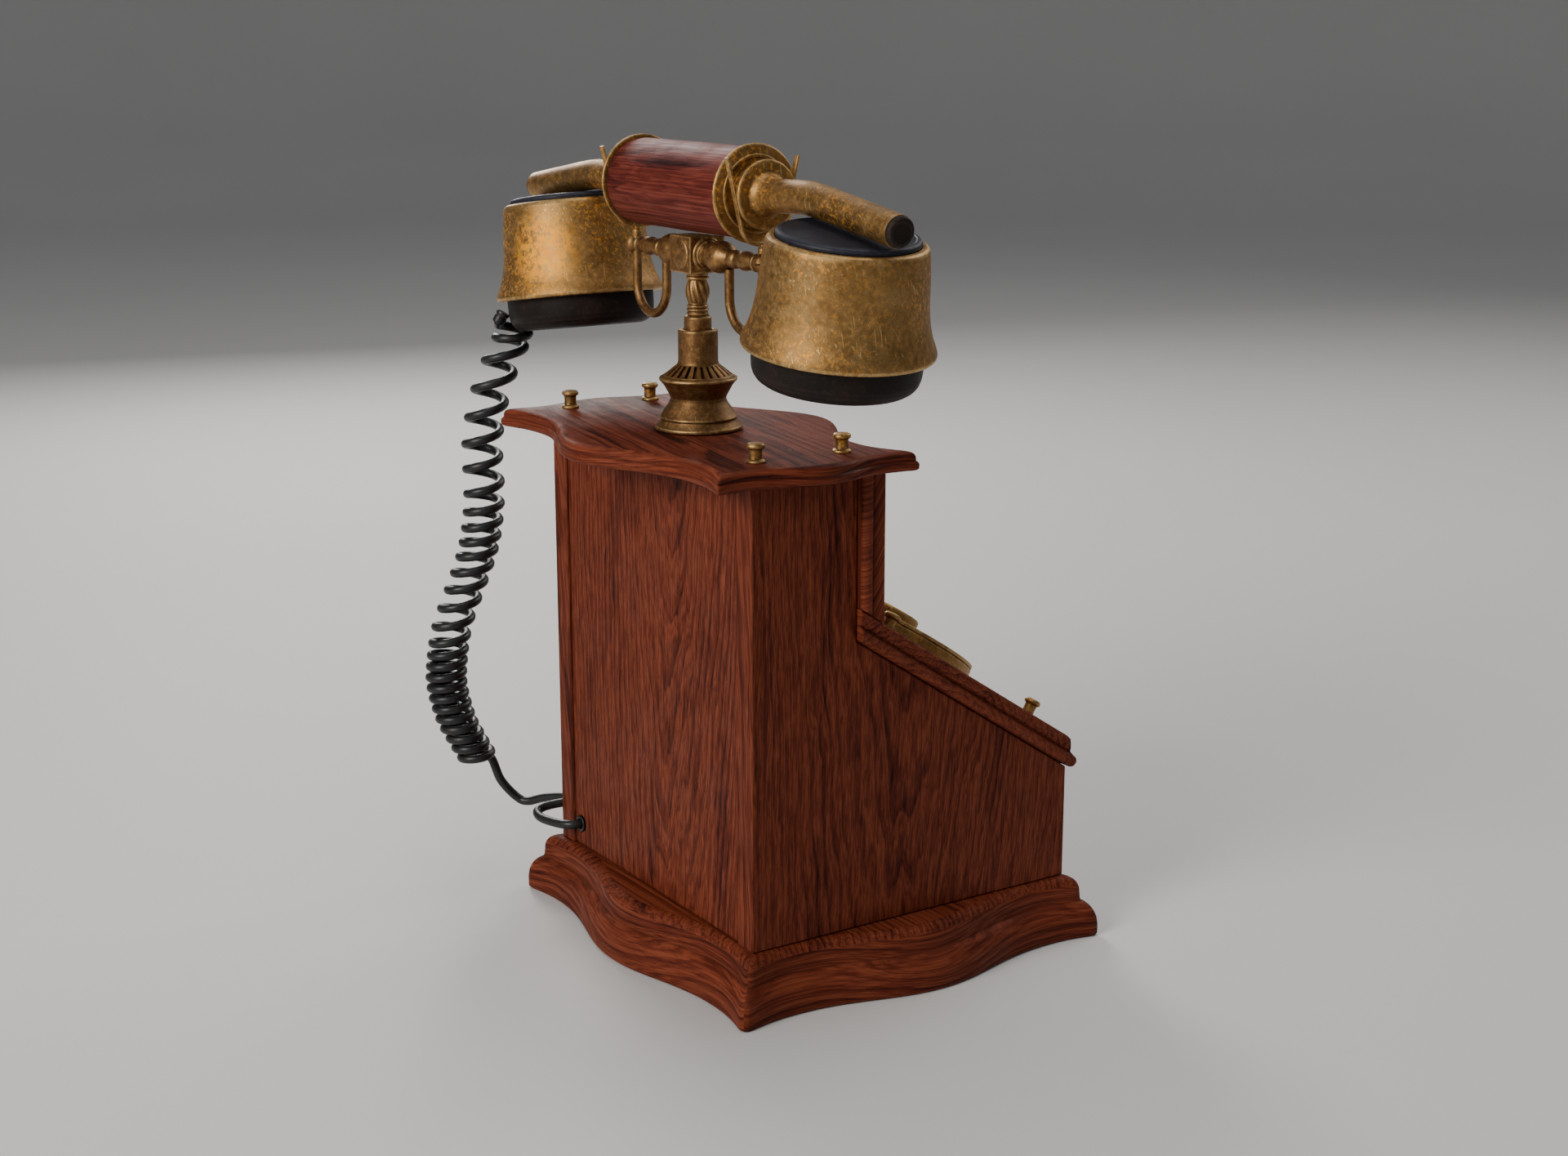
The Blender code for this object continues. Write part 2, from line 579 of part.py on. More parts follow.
# ---------------------------------------------------------------- dial
def make_dial():
    rest = frame("dial_axis", on_slope(0, DIAL_DISTANCE, 0), TO_SLOPE)
    cup = [(DIAL_RADIUS, GAP), (DIAL_RADIUS, 0.0082), (0.0436, 0.0085), (0.0424, 0.0085), (0.0424, 0.0050),
           (0.0055, 0.0050), (0.0055, GAP)]
    put("dial_housing", turned(cup, 32, hollow=True), "brass", rest)
    plate = [(0.0421, 0.0053), (0.0421, 0.0072), (0.0200, 0.0078), (0.0055, 0.0078), (0.0055, 0.0053)]
    put("dial_number_plate", turned(plate, 28, hollow=True), "enamel", rest)

    wheel = put("finger_wheel", turned([(0, 0.0088), (0.0436, 0.0088), (DIAL_RADIUS, 0.0092),
                                        (DIAL_RADIUS, 0.0100), (0.0434, 0.0104), (0, 0.0104)], 32), "brass", rest)
    holes = []
    for i in range(10):
        angle = FIRST_HOLE + HOLE_STEP * i
        centre = Vector((FINGER_HOLE_PITCH * cos(angle), FINGER_HOLE_PITCH * sin(angle), 0))
        holes.append([[centre + p for p in circle(FINGER_HOLE_RADIUS, z, 10, 0.1)] for z in (0, 0.02)])
    cut(wheel, skins(holes))
    hub = [(0, 0.0107), (0.0144, 0.0107), (0.0144, 0.0165), (0.0136, 0.0172), (0, 0.0172)]
    put("dial_hub_cap", turned(hub, 24), "brass", rest)

    # a hooked stop on the housing's rim, over the wheel's lower right
    stop = skin([[Vector((x, y, z)) for x, z in ((0.0443, 0.0055), (0.0457, 0.0055), (0.0457, 0.0126),
                                                 (0.0290, 0.0126), (0.0290, 0.0110), (0.0443, 0.0110))]
                 for y in (-0.0016, 0.0016)])
    put("finger_stop", moved(stop, (0, 0, 0), Quaternion((0, 0, 1), STOP_ANGLE)), "brass", rest)

    under = -BOARD_THICKNESS - 0.0003
    gear = put("dial_gear", prism(gear_outline(DIAL_GEAR_TEETH, DIAL_MODULE), under - 0.0050, under - 0.0030),
               "brass", rest)
    join(gear, turned([(0, under - 0.0080), (0.0025, under - 0.0080), (0.0025, 0.0085), (0, 0.0085)], 12))
    distance = DIAL_MODULE * (DIAL_GEAR_TEETH + GOVERNOR_TEETH) / 2 + MESH_PLAY
    spin = frame("governor_axis", on_slope(-distance, DIAL_DISTANCE, 0), TO_SLOPE)
    pinion = rotated(gear_outline(GOVERNOR_TEETH, DIAL_MODULE), pi / GOVERNOR_TEETH)
    governor = put("governor", prism(pinion, under - 0.0052, under - 0.0028), "steel", spin)
    join(governor, turned([(0, under - 0.0110), (0.0012, under - 0.0110), (0.0012, under - 0.0095),
                           (0.0052, under - 0.0095), (0.0052, under - 0.0075), (0.0012, under - 0.0075),
                           (0.0012, under - 0.0008), (0, under - 0.0008)], 12))

    # bracket under the gears, with two posts up to the board
    bracket = put("dial_bracket", block((-0.034, -0.009, under - 0.0150), (0.024, 0.009, under - 0.0125)), "steel", rest)
    for x in (-0.031, 0.021):
        join(bracket, moved(turned([(0, under - 0.0140), (0.0022, under - 0.0140), (0.0022, under), (0, under)], 10),
                            (x, 0, 0)))


# ---------------------------------------------------------------- crank and magneto
def make_crank():
    rest = frame("crank_axis", (0, CRANK_Y, CRANK_Z))
    bush = [(0.0029, -0.0110), (0.0029, 0.0026), (0.0085, 0.0026), (0.0100, 0.0016), (0.0100, GAP), (0.0050, GAP),
            (0.0050, -0.0110)]
    put("crank_bushing", turned(bush, 18, hollow=True), "brass", rest, (HALF_WIDTH, 0, 0), TO_X)

    gear = prism(gear_outline(CRANK_TEETH, MAGNETO_MODULE), 0.0520, 0.0560)
    drive = put("crank_gear", gear, "brass", rest, (0, 0, 0), TO_X)
    join(drive, turned([(0, 0.0425), (0.0026, 0.0425), (0.0026, 0.0848), (0, 0.0848)], 16))

    # the arm is drawn pointing forwards, and hangs straight down from the shaft's end
    lean = Quaternion((1, 0, 0), radians(90))
    arm_x = 0.0858
    outline = []
    for k in range(7):
        a = pi / 2 + pi * k / 6
        outline.append((0.0072 * cos(a), 0.0072 * sin(a)))
    for k in range(7):
        a = -pi / 2 + pi * k / 6
        outline.append((CRANK_ARM + 0.0052 * cos(a), 0.0052 * sin(a)))
    plate = skin([[Vector((x, -p, q)) for p, q in outline] for x in (arm_x, arm_x + 0.0034)])
    arm = put("crank_arm", plate, "bronze", rest, (0, 0, 0), lean)
    hub = turned([(0, 0.0852), (0.0062, 0.0852), (0.0062, 0.0905), (0.0050, 0.0915), (0, 0.0915)], 20)
    join(arm, moved(hub, (0, 0, 0), TO_X))
    pin = turned([(0, 0.0870), (0.0018, 0.0870), (0.0018, 0.1180), (0, 0.1180)], 12)
    join(arm, moved(pin, (0, -CRANK_ARM, 0), TO_X))

    place = Vector((0, CRANK_Y, CRANK_Z)) + lean @ Vector((0, -CRANK_ARM, 0))
    spin = frame("crank_knob_axis", place)
    knob = [(0, 0.1184), (0.0021, 0.1184), (0.0021, 0.0897), (0.0062, 0.0897), (0.0072, 0.0915), (0.0060, 0.0950),
            (0.0066, 0.1000), (0.0082, 0.1080), (0.0086, 0.1150), (0.0076, 0.1215), (0.0048, 0.1252), (0, 0.1262)]
    put("crank_knob", turned(knob, 16), "mahogany", spin, (0, 0, 0), TO_X)


def make_magneto():
    distance = MAGNETO_MODULE * (CRANK_TEETH + ARMATURE_TEETH) / 2 + MESH_PLAY
    axis_z = CRANK_Z - distance
    spin = frame("armature_axis", (0, CRANK_Y, axis_z))
    pinion = rotated(gear_outline(ARMATURE_TEETH, MAGNETO_MODULE), pi / ARMATURE_TEETH)
    rotor = put("magneto_armature", prism(pinion, 0.0515, 0.0565), "iron", spin, (0, 0, 0), TO_X)
    core = [(0, -0.0010), (0.0018, -0.0010), (0.0018, 0.0060), (0.0088, 0.0060), (0.0088, 0.0120), (0.0080, 0.0125),
            (0.0080, 0.0335), (0.0088, 0.0340), (0.0088, 0.0400), (0.0018, 0.0400), (0.0018, 0.0600), (0, 0.0600)]
    join(rotor, turned(core, 12))

    floor = PLINTH_TOP + GAP
    outline = [(0.0, floor), (0.0462, floor), (0.0462, CRANK_Z + 0.006), (0.0430, CRANK_Z + 0.006),
               (0.0430, floor + 0.003), (0.0032, floor + 0.003), (0.0032, axis_z + 0.006), (0.0, axis_z + 0.006)]
    rings = [[Vector((x, CRANK_Y + y, z)) for x, z in outline] for y in (-0.007, 0.007)]
    holder = put("magneto_frame", skin(rings), "iron")
    for z, radius in ((axis_z, 0.0021), (CRANK_Z, 0.0029)):
        hole = turned([(0, -0.02), (radius, -0.02), (radius, 0.05), (0, 0.05)], 12)
        cut(holder, moved(hole, (0, CRANK_Y, z), TO_X))

    low, high, inner, outer = floor + 0.0036, axis_z + 0.036, 0.0095, 0.0155
    magnet = [(-outer, low), (-inner, low), (-inner, high - 0.010), (-0.005, high - 0.006), (0.005, high - 0.006),
              (inner, high - 0.010), (inner, low), (outer, low), (outer, high - 0.006), (0.009, high), (-0.009, high),
              (-outer, high - 0.006)]
    rings = [[Vector((x, CRANK_Y + y, z)) for y, z in magnet] for x in (0.0068, 0.0392)]
    put("magneto_magnet", skin(rings), "iron")


# ---------------------------------------------------------------- ringer and wiring
def make_ringer():
    back = REAR_Y - 0.0008 - PANEL_THICKNESS - GAP
    plate = put("ringer_frame", block((-0.034, back - 0.003, 0.097), (0.034, back, 0.171)), "iron")
    for x in (-0.013, 0.013):
        coil = [(0, 0.002), (0.0085, 0.002), (0.0085, 0.0040), (0.0070, 0.0042), (0.0070, 0.0150), (0.0085, 0.0152),
                (0.0085, 0.0170), (0, 0.0170)]
        join(plate, moved(turned(coil, 12), (x, back, RINGER_COIL_Z), TO_FRONT))
    for x in (-GONG_X, GONG_X):
        post = turned([(0, 0.002), (0.0020, 0.002), (0.0020, 0.0240), (0, 0.0240)], 10)
        join(plate, moved(post, (x, back, GONG_Z), TO_FRONT))
    pivot = turned([(0, 0.002), (0.0012, 0.002), (0.0012, 0.0150), (0, 0.0150)], 10)
    join(plate, moved(pivot, (0, back, CLAPPER_Z), TO_FRONT))
    for name, x in (("left", -GONG_X), ("right", GONG_X)):
        gong = [(0.0023, 0.0200), (0.0100, 0.0200), (0.0196, 0.0150), (GONG_RADIUS, 0.0060), (0.0208, 0.0060),
                (0.0184, 0.0138), (0.0096, 0.0184), (0.0023, 0.0184)]
        put("gong_" + name, turned(gong, 20, hollow=True), "brass", None, (x, back, GONG_Z), TO_FRONT)

    swing = frame("clapper_axis", (0, back, CLAPPER_Z))
    eye = turned([(0.0015, 0.0070), (0.0034, 0.0070), (0.0034, 0.0110), (0.0015, 0.0110)], 16, hollow=True)
    clapper = put("clapper", eye, "steel", swing, (0, 0, 0), TO_FRONT)
    drop = CLAPPER_Z - GONG_Z
    rod = turned([(0, 0.0028), (0.0008, 0.0028), (0.0008, drop - 0.002), (0.0030, drop - 0.0012),
                  (0.0034, drop + 0.001), (0.0020, drop + 0.0035), (0, drop + 0.0038)], 10)
    join(clapper, moved(rod, (0, 0, 0.0090), turn_between((0, 0, 1), (0, -1, 0))))


def make_wiring():
    floor = PLINTH_TOP + GAP
    strip = put("terminal_block", block((-0.030, 0.030, floor), (0.022, 0.048, floor + 0.010)), "bakelite")
    for k in range(4):
        screw = turned([(0, 0.008), (0.0028, 0.008), (0.0028, 0.0125), (0, 0.0125)], 10)
        join(strip, moved(screw, (-0.023 + 0.013 * k, 0.039, floor)))
    coil = [(0, -0.022), (0.0120, -0.022), (0.0120, -0.019), (0.0092, -0.019), (0.0092, 0.019), (0.0120, 0.019),
            (0.0120, 0.022), (0, 0.022)]
    put("induction_coil", turned(coil, 16), "copper", None, (-0.036, -0.030, floor + 0.0122), TO_X)
    # the stack of contact springs hangs under the top board, beside the cradle's stem
    top = BODY_TOP - GAP
    y = COLUMN_Y
    switch = put("hook_switch", block((-0.020, y - 0.005, 0.1835), (-0.006, y + 0.005, top)), "bakelite")
    join(switch, block((-0.010, y - 0.003, 0.1868), (0.008, y + 0.003, 0.1880)))


def main():
    clear_scene()
    make_plinth()
    make_side_panels()
    make_panels()
    make_upper_front_board()
    make_slope_board()
    make_top_board()
    make_knobs()
    make_column()
    make_cradle()
    make_handset()
    make_cord()
    make_dial()
    make_crank()
    make_magneto()
    make_ringer()
    make_wiring()


main()
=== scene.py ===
"""The looks of a wooden desk telephone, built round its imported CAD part. Blender 4.5, metres, +Z up."""
from math import acos, cos, hypot, pi, radians, sin, sqrt, tan

import bmesh
import bpy
from mathutils import Matrix, Quaternion, Vector


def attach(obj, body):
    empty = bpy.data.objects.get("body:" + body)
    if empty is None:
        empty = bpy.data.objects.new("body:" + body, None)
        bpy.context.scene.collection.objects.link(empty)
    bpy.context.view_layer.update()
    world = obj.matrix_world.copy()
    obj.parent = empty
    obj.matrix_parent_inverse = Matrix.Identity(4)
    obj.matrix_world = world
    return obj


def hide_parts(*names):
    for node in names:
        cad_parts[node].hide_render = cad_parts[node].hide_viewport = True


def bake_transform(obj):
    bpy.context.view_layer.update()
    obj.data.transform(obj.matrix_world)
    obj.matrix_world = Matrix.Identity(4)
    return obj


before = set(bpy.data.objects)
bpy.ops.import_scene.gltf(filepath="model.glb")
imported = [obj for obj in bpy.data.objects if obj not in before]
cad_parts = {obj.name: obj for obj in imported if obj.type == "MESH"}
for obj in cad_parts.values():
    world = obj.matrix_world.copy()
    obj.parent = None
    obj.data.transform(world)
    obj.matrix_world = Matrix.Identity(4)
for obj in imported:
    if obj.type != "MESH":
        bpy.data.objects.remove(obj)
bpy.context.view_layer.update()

# ---------------------------------------------------------------- sizes shared with the CAD part
HALF_WIDTH, REAR_Y, NECK_Y, FRONT_Y = 0.080, 0.072, 0.0235, -0.085
PLINTH_TOP, BODY_TOP, TABLE_TOP = 0.0258, 0.2129, 0.2206
SIDE_THICKNESS, PANEL_THICKNESS, BOARD_THICKNESS = 0.011, 0.010, 0.011
BOARD_HALF_WIDTH = 0.0845
SLOPE_START = Vector((0.0, 0.0223, 0.1453))
SLOPE_ANGLE = radians(33.2)
SLOPE_DOWN = Vector((0.0, -cos(SLOPE_ANGLE), -sin(SLOPE_ANGLE)))
SLOPE_NORMAL = Vector((0.0, -sin(SLOPE_ANGLE), cos(SLOPE_ANGLE)))
COLUMN_Y, ARM_Z, GRIP_Z, FORK_X = 0.0467, 0.2915, 0.3177, 0.0487
CUP_X, CUP_Z, CUP_TILT = 0.100, 0.2646, radians(8.52)
DIAL_DISTANCE, DIAL_RADIUS, FINGER_HOLE_RADIUS, FINGER_HOLE_PITCH = 0.0680, 0.044, 0.0055, 0.0335
FIRST_HOLE, HOLE_STEP, STOP_ANGLE = radians(60), radians(26.5), radians(-25)
CRANK_Y, CRANK_Z, CRANK_ARM = -0.018, 0.080, 0.042
GAP = 0.0003
MM = 0.001                   # profiles and routes are written in millimetres


def new_object(name, data):
    made = bpy.data.objects.new(name, data)
    bpy.context.scene.collection.objects.link(made)
    return made


def aimed(name, data, place, direction):
    """A camera or a lamp that looks along a direction."""
    made = new_object(name, data)
    made.location = place
    made.rotation_mode = "QUATERNION"
    made.rotation_quaternion = Vector(direction).to_track_quat("-Z", "Y")
    return made


# ---------------------------------------------------------------- camera
CAMERA_AZIMUTH, CAMERA_PITCH = radians(236.98), radians(13.81)
VIEW = Vector((-sin(CAMERA_AZIMUTH) * cos(CAMERA_PITCH), cos(CAMERA_AZIMUTH) * cos(CAMERA_PITCH),
               -sin(CAMERA_PITCH)))
camera_data = bpy.data.cameras.new("camera")
camera_data.lens, camera_data.sensor_width = 51.92, 36.0
bpy.context.scene.camera = aimed("camera", camera_data, (-0.7797, 0.5121, 0.3811), VIEW)


# ---------------------------------------------------------------- shapes
def turn_to(direction):
    """The turn that takes +Z to a direction."""
    return Vector((0, 0, 1)).rotation_difference(Vector(direction))


TO_X, TO_SLOPE, TO_REAR = turn_to((1, 0, 0)), turn_to(SLOPE_NORMAL), turn_to((0, 1, 0))


def at(place=(0, 0, 0), turn=None):
    return Matrix.Translation(place) @ (turn or Quaternion()).to_matrix().to_4x4()


def circle(count):
    """The cosine and the sine of evenly spaced angles."""
    return [(cos(2 * pi * k / count), sin(2 * pi * k / count)) for k in range(count)]


def round_ring(count, radius):
    """A circle's points, or one point where the radius is nothing."""
    return [(radius * c, radius * s) for c, s in circle(count)] if radius > 1e-6 else [(0.0, 0.0)]


def heading(path, i):
    """A path's direction at one of its points."""
    return (path[min(i + 1, len(path) - 1)] - path[max(i - 1, 0)]).normalized()


class Shape:
    """Points and faces. Each point's edge value is 1 on a rubbed edge and -1 in a crevice, which the
    materials darken as painted shade; tag is a number for each face.
    """

    def __init__(self):
        self.points, self.wear_and_shade, self.faces, self.tags = [], [], [], []

    def add(self, other, matrix=None):
        base = len(self.points)
        self.points += [matrix @ p if matrix else p for p in other.points]
        self.wear_and_shade += other.wear_and_shade
        self.faces += [tuple(base + i for i in f) for f in other.faces]
        self.tags += other.tags
        return self

    def moved(self, matrix):
        self.points = [matrix @ p for p in self.points]
        return self


def skin(rings, wear_and_shade=None, closed=False, tag=None):
    """A body through rings of equal numbers of points. tag(ring, step) numbers a face."""
    shape = Shape()
    rows = []
    for r, ring in enumerate(rings):
        rows.append(range(len(shape.points), len(shape.points) + len(ring)))
        shape.points += [Vector(p) for p in ring]
        amount = wear_and_shade[r] if wear_and_shade else 0.0
        shape.wear_and_shade += amount if isinstance(amount, list) else [amount] * len(ring)
    pairs = list(zip(range(len(rows)), range(1, len(rows))))
    if closed:
        pairs.append((len(rows) - 1, 0))
    for ia, ib in pairs:
        a, b = rows[ia], rows[ib]
        count = max(len(a), len(b))
        for i in range(count):
            j = (i + 1) % count
            corners = (a[i % len(a)], a[j % len(a)], b[j % len(b)], b[i % len(b)])
            shape.faces.append(tuple(dict.fromkeys(corners)))
            shape.tags.append(tag(ia, i) if tag else 0)
    if not closed:
        for end, row in ((0, rows[0]), (-1, rows[-1])):
            if len(row) > 2:
                shape.faces.append(tuple(reversed(row)) if end == 0 else tuple(row))
                shape.tags.append(tag(end, -1) if tag else 0)
    volume = 0.0
    for f in shape.faces:
        p0 = shape.points[f[0]]
        for k in range(1, len(f) - 1):
            volume += p0.dot(shape.points[f[k]].cross(shape.points[f[k + 1]]))
    if volume < 0:
        shape.faces = [tuple(reversed(f)) for f in shape.faces]
    return shape


def mm(points):
    return [tuple(value / 1000 for value in point) for point in points]


def bend(start, corner, end, t):
    """A rounded corner from start at t = 0 to end at t = 1."""
    return start * (1 - t) ** 2 + corner * 2 * t * (1 - t) + end * t ** 2


def soften(points, radius=0.0004, steps=3, closed=False, support=0.0006):
    """Rounds a polyline's corners. Gives (x, y, amount) with each point's edge amount, for a line that runs
    anticlockwise round its body: positive at an outer corner, a rubbed edge, and negative at an inner corner,
    which the materials darken as painted shade."""
    result = []
    n = len(points)
    for i, point in enumerate(points):
        b = Vector(point[:2])
        own = point[2] if len(point) > 2 else radius
        if not closed and i in (0, n - 1):
            result.append((b.x, b.y, 0.0))
            continue
        a, c = Vector(points[i - 1][:2]), Vector(points[(i + 1) % n][:2])
        before, after = (b - a), (c - b)
        turn = before.cross(after) / max(before.length * after.length, 1e-12)
        angle = abs(acos(max(-1, min(1, before.dot(after) / max(before.length * after.length, 1e-12)))))
        size = min(own, before.length * 0.45, after.length * 0.45)
        if angle < radians(12) or size < 1e-6:
            result.append((b.x, b.y, 0.0))
            continue
        amount = min(1.0, angle / radians(70)) * (1 if turn > 0 else -1)
        before.normalize()
        after.normalize()
        far = min(support, (b - a).length * 0.48 - size)
        if far > 0.0001:
            p = b - before * (size + far)
            result.append((p.x, p.y, 0.0))
        start, end = b - before * size, b + after * size
        for k in range(steps + 1):
            t = k / steps
            p = bend(start, b, end, t)
            result.append((p.x, p.y, amount * (0.45 + 0.55 * sin(pi * t))))
        far = min(support, (c - b).length * 0.48 - size)
        if far > 0.0001:
            p = b + after * (size + far)
            result.append((p.x, p.y, 0.0))
    return result


def lathe(profile, segments, closed=False, radius=0.4):
    """A turned shape about Z from (radius, height) points in millimetres. The radius rounds its edges, and
    a point's third value takes its place."""
    rings, wear_and_shade = [], []
    for r, z, w in soften(mm(profile), radius * MM, 3, closed):
        rings.append([Vector((x, y, z)) for x, y in round_ring(segments, r)])
        wear_and_shade.append(w)
    return skin(rings, wear_and_shade, closed)


def catmull_rom(a, b, c, d, t):
    """A smooth curve from b at t = 0 to c at t = 1, with a before it and d after it."""
    square, cube = 2 * a - 5 * b + 4 * c - d, 3 * b - a - 3 * c + d
    return 0.5 * (2 * b + (c - a) * t + square * t ** 2 + cube * t ** 3)


def smooth_path(points, count):
    """Points at even spacing along a Catmull-Rom curve through the given ones."""
    points = [Vector(p) for p in points]
    ends = [2 * points[0] - points[1]] + points + [2 * points[-1] - points[-2]]
    fine = []
    for four in zip(ends, ends[1:], ends[2:], ends[3:]):
        fine += [catmull_rom(*four, k / 24) for k in range(24)]
    fine.append(points[-1])
    return even(fine, count)


def even(fine, count):
    """Points at even spacing along a polyline."""
    along = [0.0]
    for a, b in zip(fine, fine[1:]):
        along.append(along[-1] + (b - a).length)
    result, k = [], 0
    for i in range(count):
        wanted = along[-1] * i / (count - 1)
        while k < len(fine) - 2 and along[k + 1] < wanted:
            k += 1
        result.append(fine[k].lerp(fine[k + 1], (wanted - along[k]) / max(along[k + 1] - along[k], 1e-12)))
    return result


def path_length(points):
    return sum((b - a).length for a, b in zip(points, points[1:]))


def sweep(path, radius, segments, side=Vector((0, 1, 0))):
    """A round bar along a path, its rings kept from twisting."""
    rings, across = [], side
    for i, point in enumerate(path):
        ahead = heading(path, i)
        across = (across - ahead * across.dot(ahead)).normalized()
        other = ahead.cross(across)
        rings.append([point + radius * (c * across + s * other) for c, s in circle(segments)])
    return skin(rings)


def prism(outline, low, high):
    return skin([[Vector((x, y, z)) for x, y in outline] for z in (low, high)])


def block(low, high):
    (x0, y0, z0), (x1, y1, z1) = low, high
    return prism([(x0, y0), (x1, y0), (x1, y1), (x0, y1)], z0, z1)


# ---------------------------------------------------------------- pieces
def mesh_of(name, shape, sharp=38):
    mesh = bpy.data.meshes.new(name)
    mesh.from_pydata([tuple(p) for p in shape.points], [], shape.faces)
    wear_and_shade = mesh.attributes.new("wear_and_shade", "FLOAT", "POINT")
    wear_and_shade.data.foreach_set("value", shape.wear_and_shade)
    mesh.shade_smooth()
    mesh.set_sharp_from_angle(angle=radians(sharp))
    return mesh


def write_grain(mesh, tags, grain):
    """The wood's own coordinates at each corner: x along the grain, and y and z from the tree's heart."""
    values = []
    for polygon in mesh.polygons:
        tag = tags[polygon.index] if tags else 0
        for v in polygon.vertices:
            values.extend(grain(mesh.vertices[v].co, tag))
    attribute = mesh.attributes.new("grain", "FLOAT_VECTOR", "CORNER")
    attribute.data.foreach_set("vector", values)


def evaluated_mesh(made):
    return bpy.data.meshes.new_from_object(made.evaluated_get(bpy.context.evaluated_depsgraph_get()))


def cut(made, cutters):
    """Replaces an object's mesh by one with the cutters taken off."""
    tools = [new_object("tool", mesh_of("tool", cutter)) for cutter in cutters]
    for tool in tools:
        change = made.modifiers.new("cut", "BOOLEAN")
        change.operation, change.object, change.solver = "DIFFERENCE", tool, "EXACT"
    whole, made.data = made.data, evaluated_mesh(made)
    made.modifiers.clear()
    bpy.data.meshes.remove(whole)
    for tool in tools:
        bpy.data.meshes.remove(tool.data)


SLOTS = {"mahogany": "cabinet_wood", "grip mahogany": "turned_wood", "aged brass": "aged_brass",
         "aged brass with a golden patch": "aged_brass", "bronzed brass": "dark_brass",
         "black bakelite": "bakelite", "blue-black bakelite": "lid_bakelite", "black rubber": "cord_rubber",
         "cream enamel": "enamel"}


def piece(node, shape, finish, body, grain=None, sharp=38, bevel=0.0, cutters=(), slot=None):
    """A shown piece that rides on a body and stands for a CAD node."""
    made = new_object(node + "_shown", mesh_of(node + "_shown", shape, sharp))
    if cutters:
        cut(made, cutters)
        made.data.shade_smooth()
        made.data.set_sharp_from_angle(angle=radians(sharp))
    if grain:
        write_grain(made.data, None if cutters else shape.tags, grain)
    made.data.materials.clear()
    made.data.materials.append(finish)
    if bevel:
        change = made.modifiers.new("bevel", "BEVEL")
        change.width, change.segments, change.limit_method = bevel, 2, "ANGLE"
        change.angle_limit = radians(35)
    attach(made, body)
    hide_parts(node)
    slot or SLOTS[finish.name]
    return made


# ---------------------------------------------------------------- materials
class Value:
    """A node's output that adds and multiplies like a number."""

    def __init__(self, graph, socket):
        self.graph, self.socket = graph, socket

    def math(self, operation, other=0.0):
        return self.graph.node("Math", {0: self, 1: other}, operation=operation)

    def __add__(self, other):
        return self.math("ADD", other)

    def __mul__(self, other):
        return self.math("MULTIPLY", other)

    def larger(self, other):
        return self.math("MAXIMUM", other)

    def step(self, low, high, to_low=0.0, to_high=1.0):
        """A smooth step from low to high."""
        inputs = {"Value": self, "From Min": low, "From Max": high, "To Min": to_low, "To Max": to_high}
        return self.graph.node("MapRange", inputs, interpolation_type="SMOOTHSTEP")


class Graph:
    """A material's nodes, made one call at a time."""

    def __init__(self, name):
        self.material = bpy.data.materials.new(name)
        self.material.use_nodes = True
        self.tree = self.material.node_tree
        self.shader = self.tree.nodes["Principled BSDF"]

    def node(self, kind, inputs=None, output=0, **settings):
        made = self.tree.nodes.new("ShaderNode" + kind)
        for key, value in settings.items():
            setattr(made, key, value)
        for key, value in (inputs or {}).items():
            self.fill(made.inputs[key], value)
        return Value(self, made.outputs[output])

    def fill(self, socket, value):
        if isinstance(value, Value):
            self.tree.links.new(value.socket, socket)
        else:
            socket.default_value = (*value, 1.0) if socket.type == "RGBA" else value

    def object_place(self):
        return self.node("TexCoord", output=3)

    def wear_and_shade(self):
        """How far each place is a rubbed edge, and how far it is a crevice darkened as painted shade, from 0
        to 1.
        """
        wear_and_shade = self.node("Attribute", output=2, attribute_name="wear_and_shade")
        return wear_and_shade.larger(0.0), (wear_and_shade * -1.0).larger(0.0)

    def scaled(self, vector, factors):
        return self.node("VectorMath", {0: vector, 1: factors}, operation="MULTIPLY")

    def shifted(self, vector, offset):
        return self.node("VectorMath", {0: vector, 1: offset}, operation="ADD")

    def turned(self, vector, angles):
        return self.node("Mapping", {"Vector": vector, "Rotation": angles}, vector_type="POINT")

    def noise(self, vector, scale, detail=2.0, roughness=0.5):
        inputs = {"Vector": vector, "Scale": scale, "Detail": detail, "Roughness": roughness}
        return self.node("TexNoise", inputs)

    def mix(self, factor, a, b):
        return self.node("Mix", {0: factor, 6: a, 7: b}, 2, data_type="RGBA")

    def ramp(self, factor, stops):
        made = self.tree.nodes.new("ShaderNodeValToRGB")
        elements = made.color_ramp.elements
        while len(elements) < len(stops):
            elements.new(0.5)
        for element, (place, colour) in zip(elements, stops):
            element.position, element.color = place, (*colour, 1.0)
        self.fill(made.inputs[0], factor)
        return Value(self, made.outputs[0])

    def bump(self, height, strength, distance):
        return self.node("Bump", {"Height": height, "Strength": strength, "Distance": distance})

    def finish(self, **values):
        for key, value in values.items():
            self.fill(self.shader.inputs[key.replace("_", " ")], value)
        return self.material


def tinted(colour, *shares):
    """A colour times one share, or times a share for each of red, green and blue."""
    return tuple(c * share for c, share in zip(colour, shares * 3))


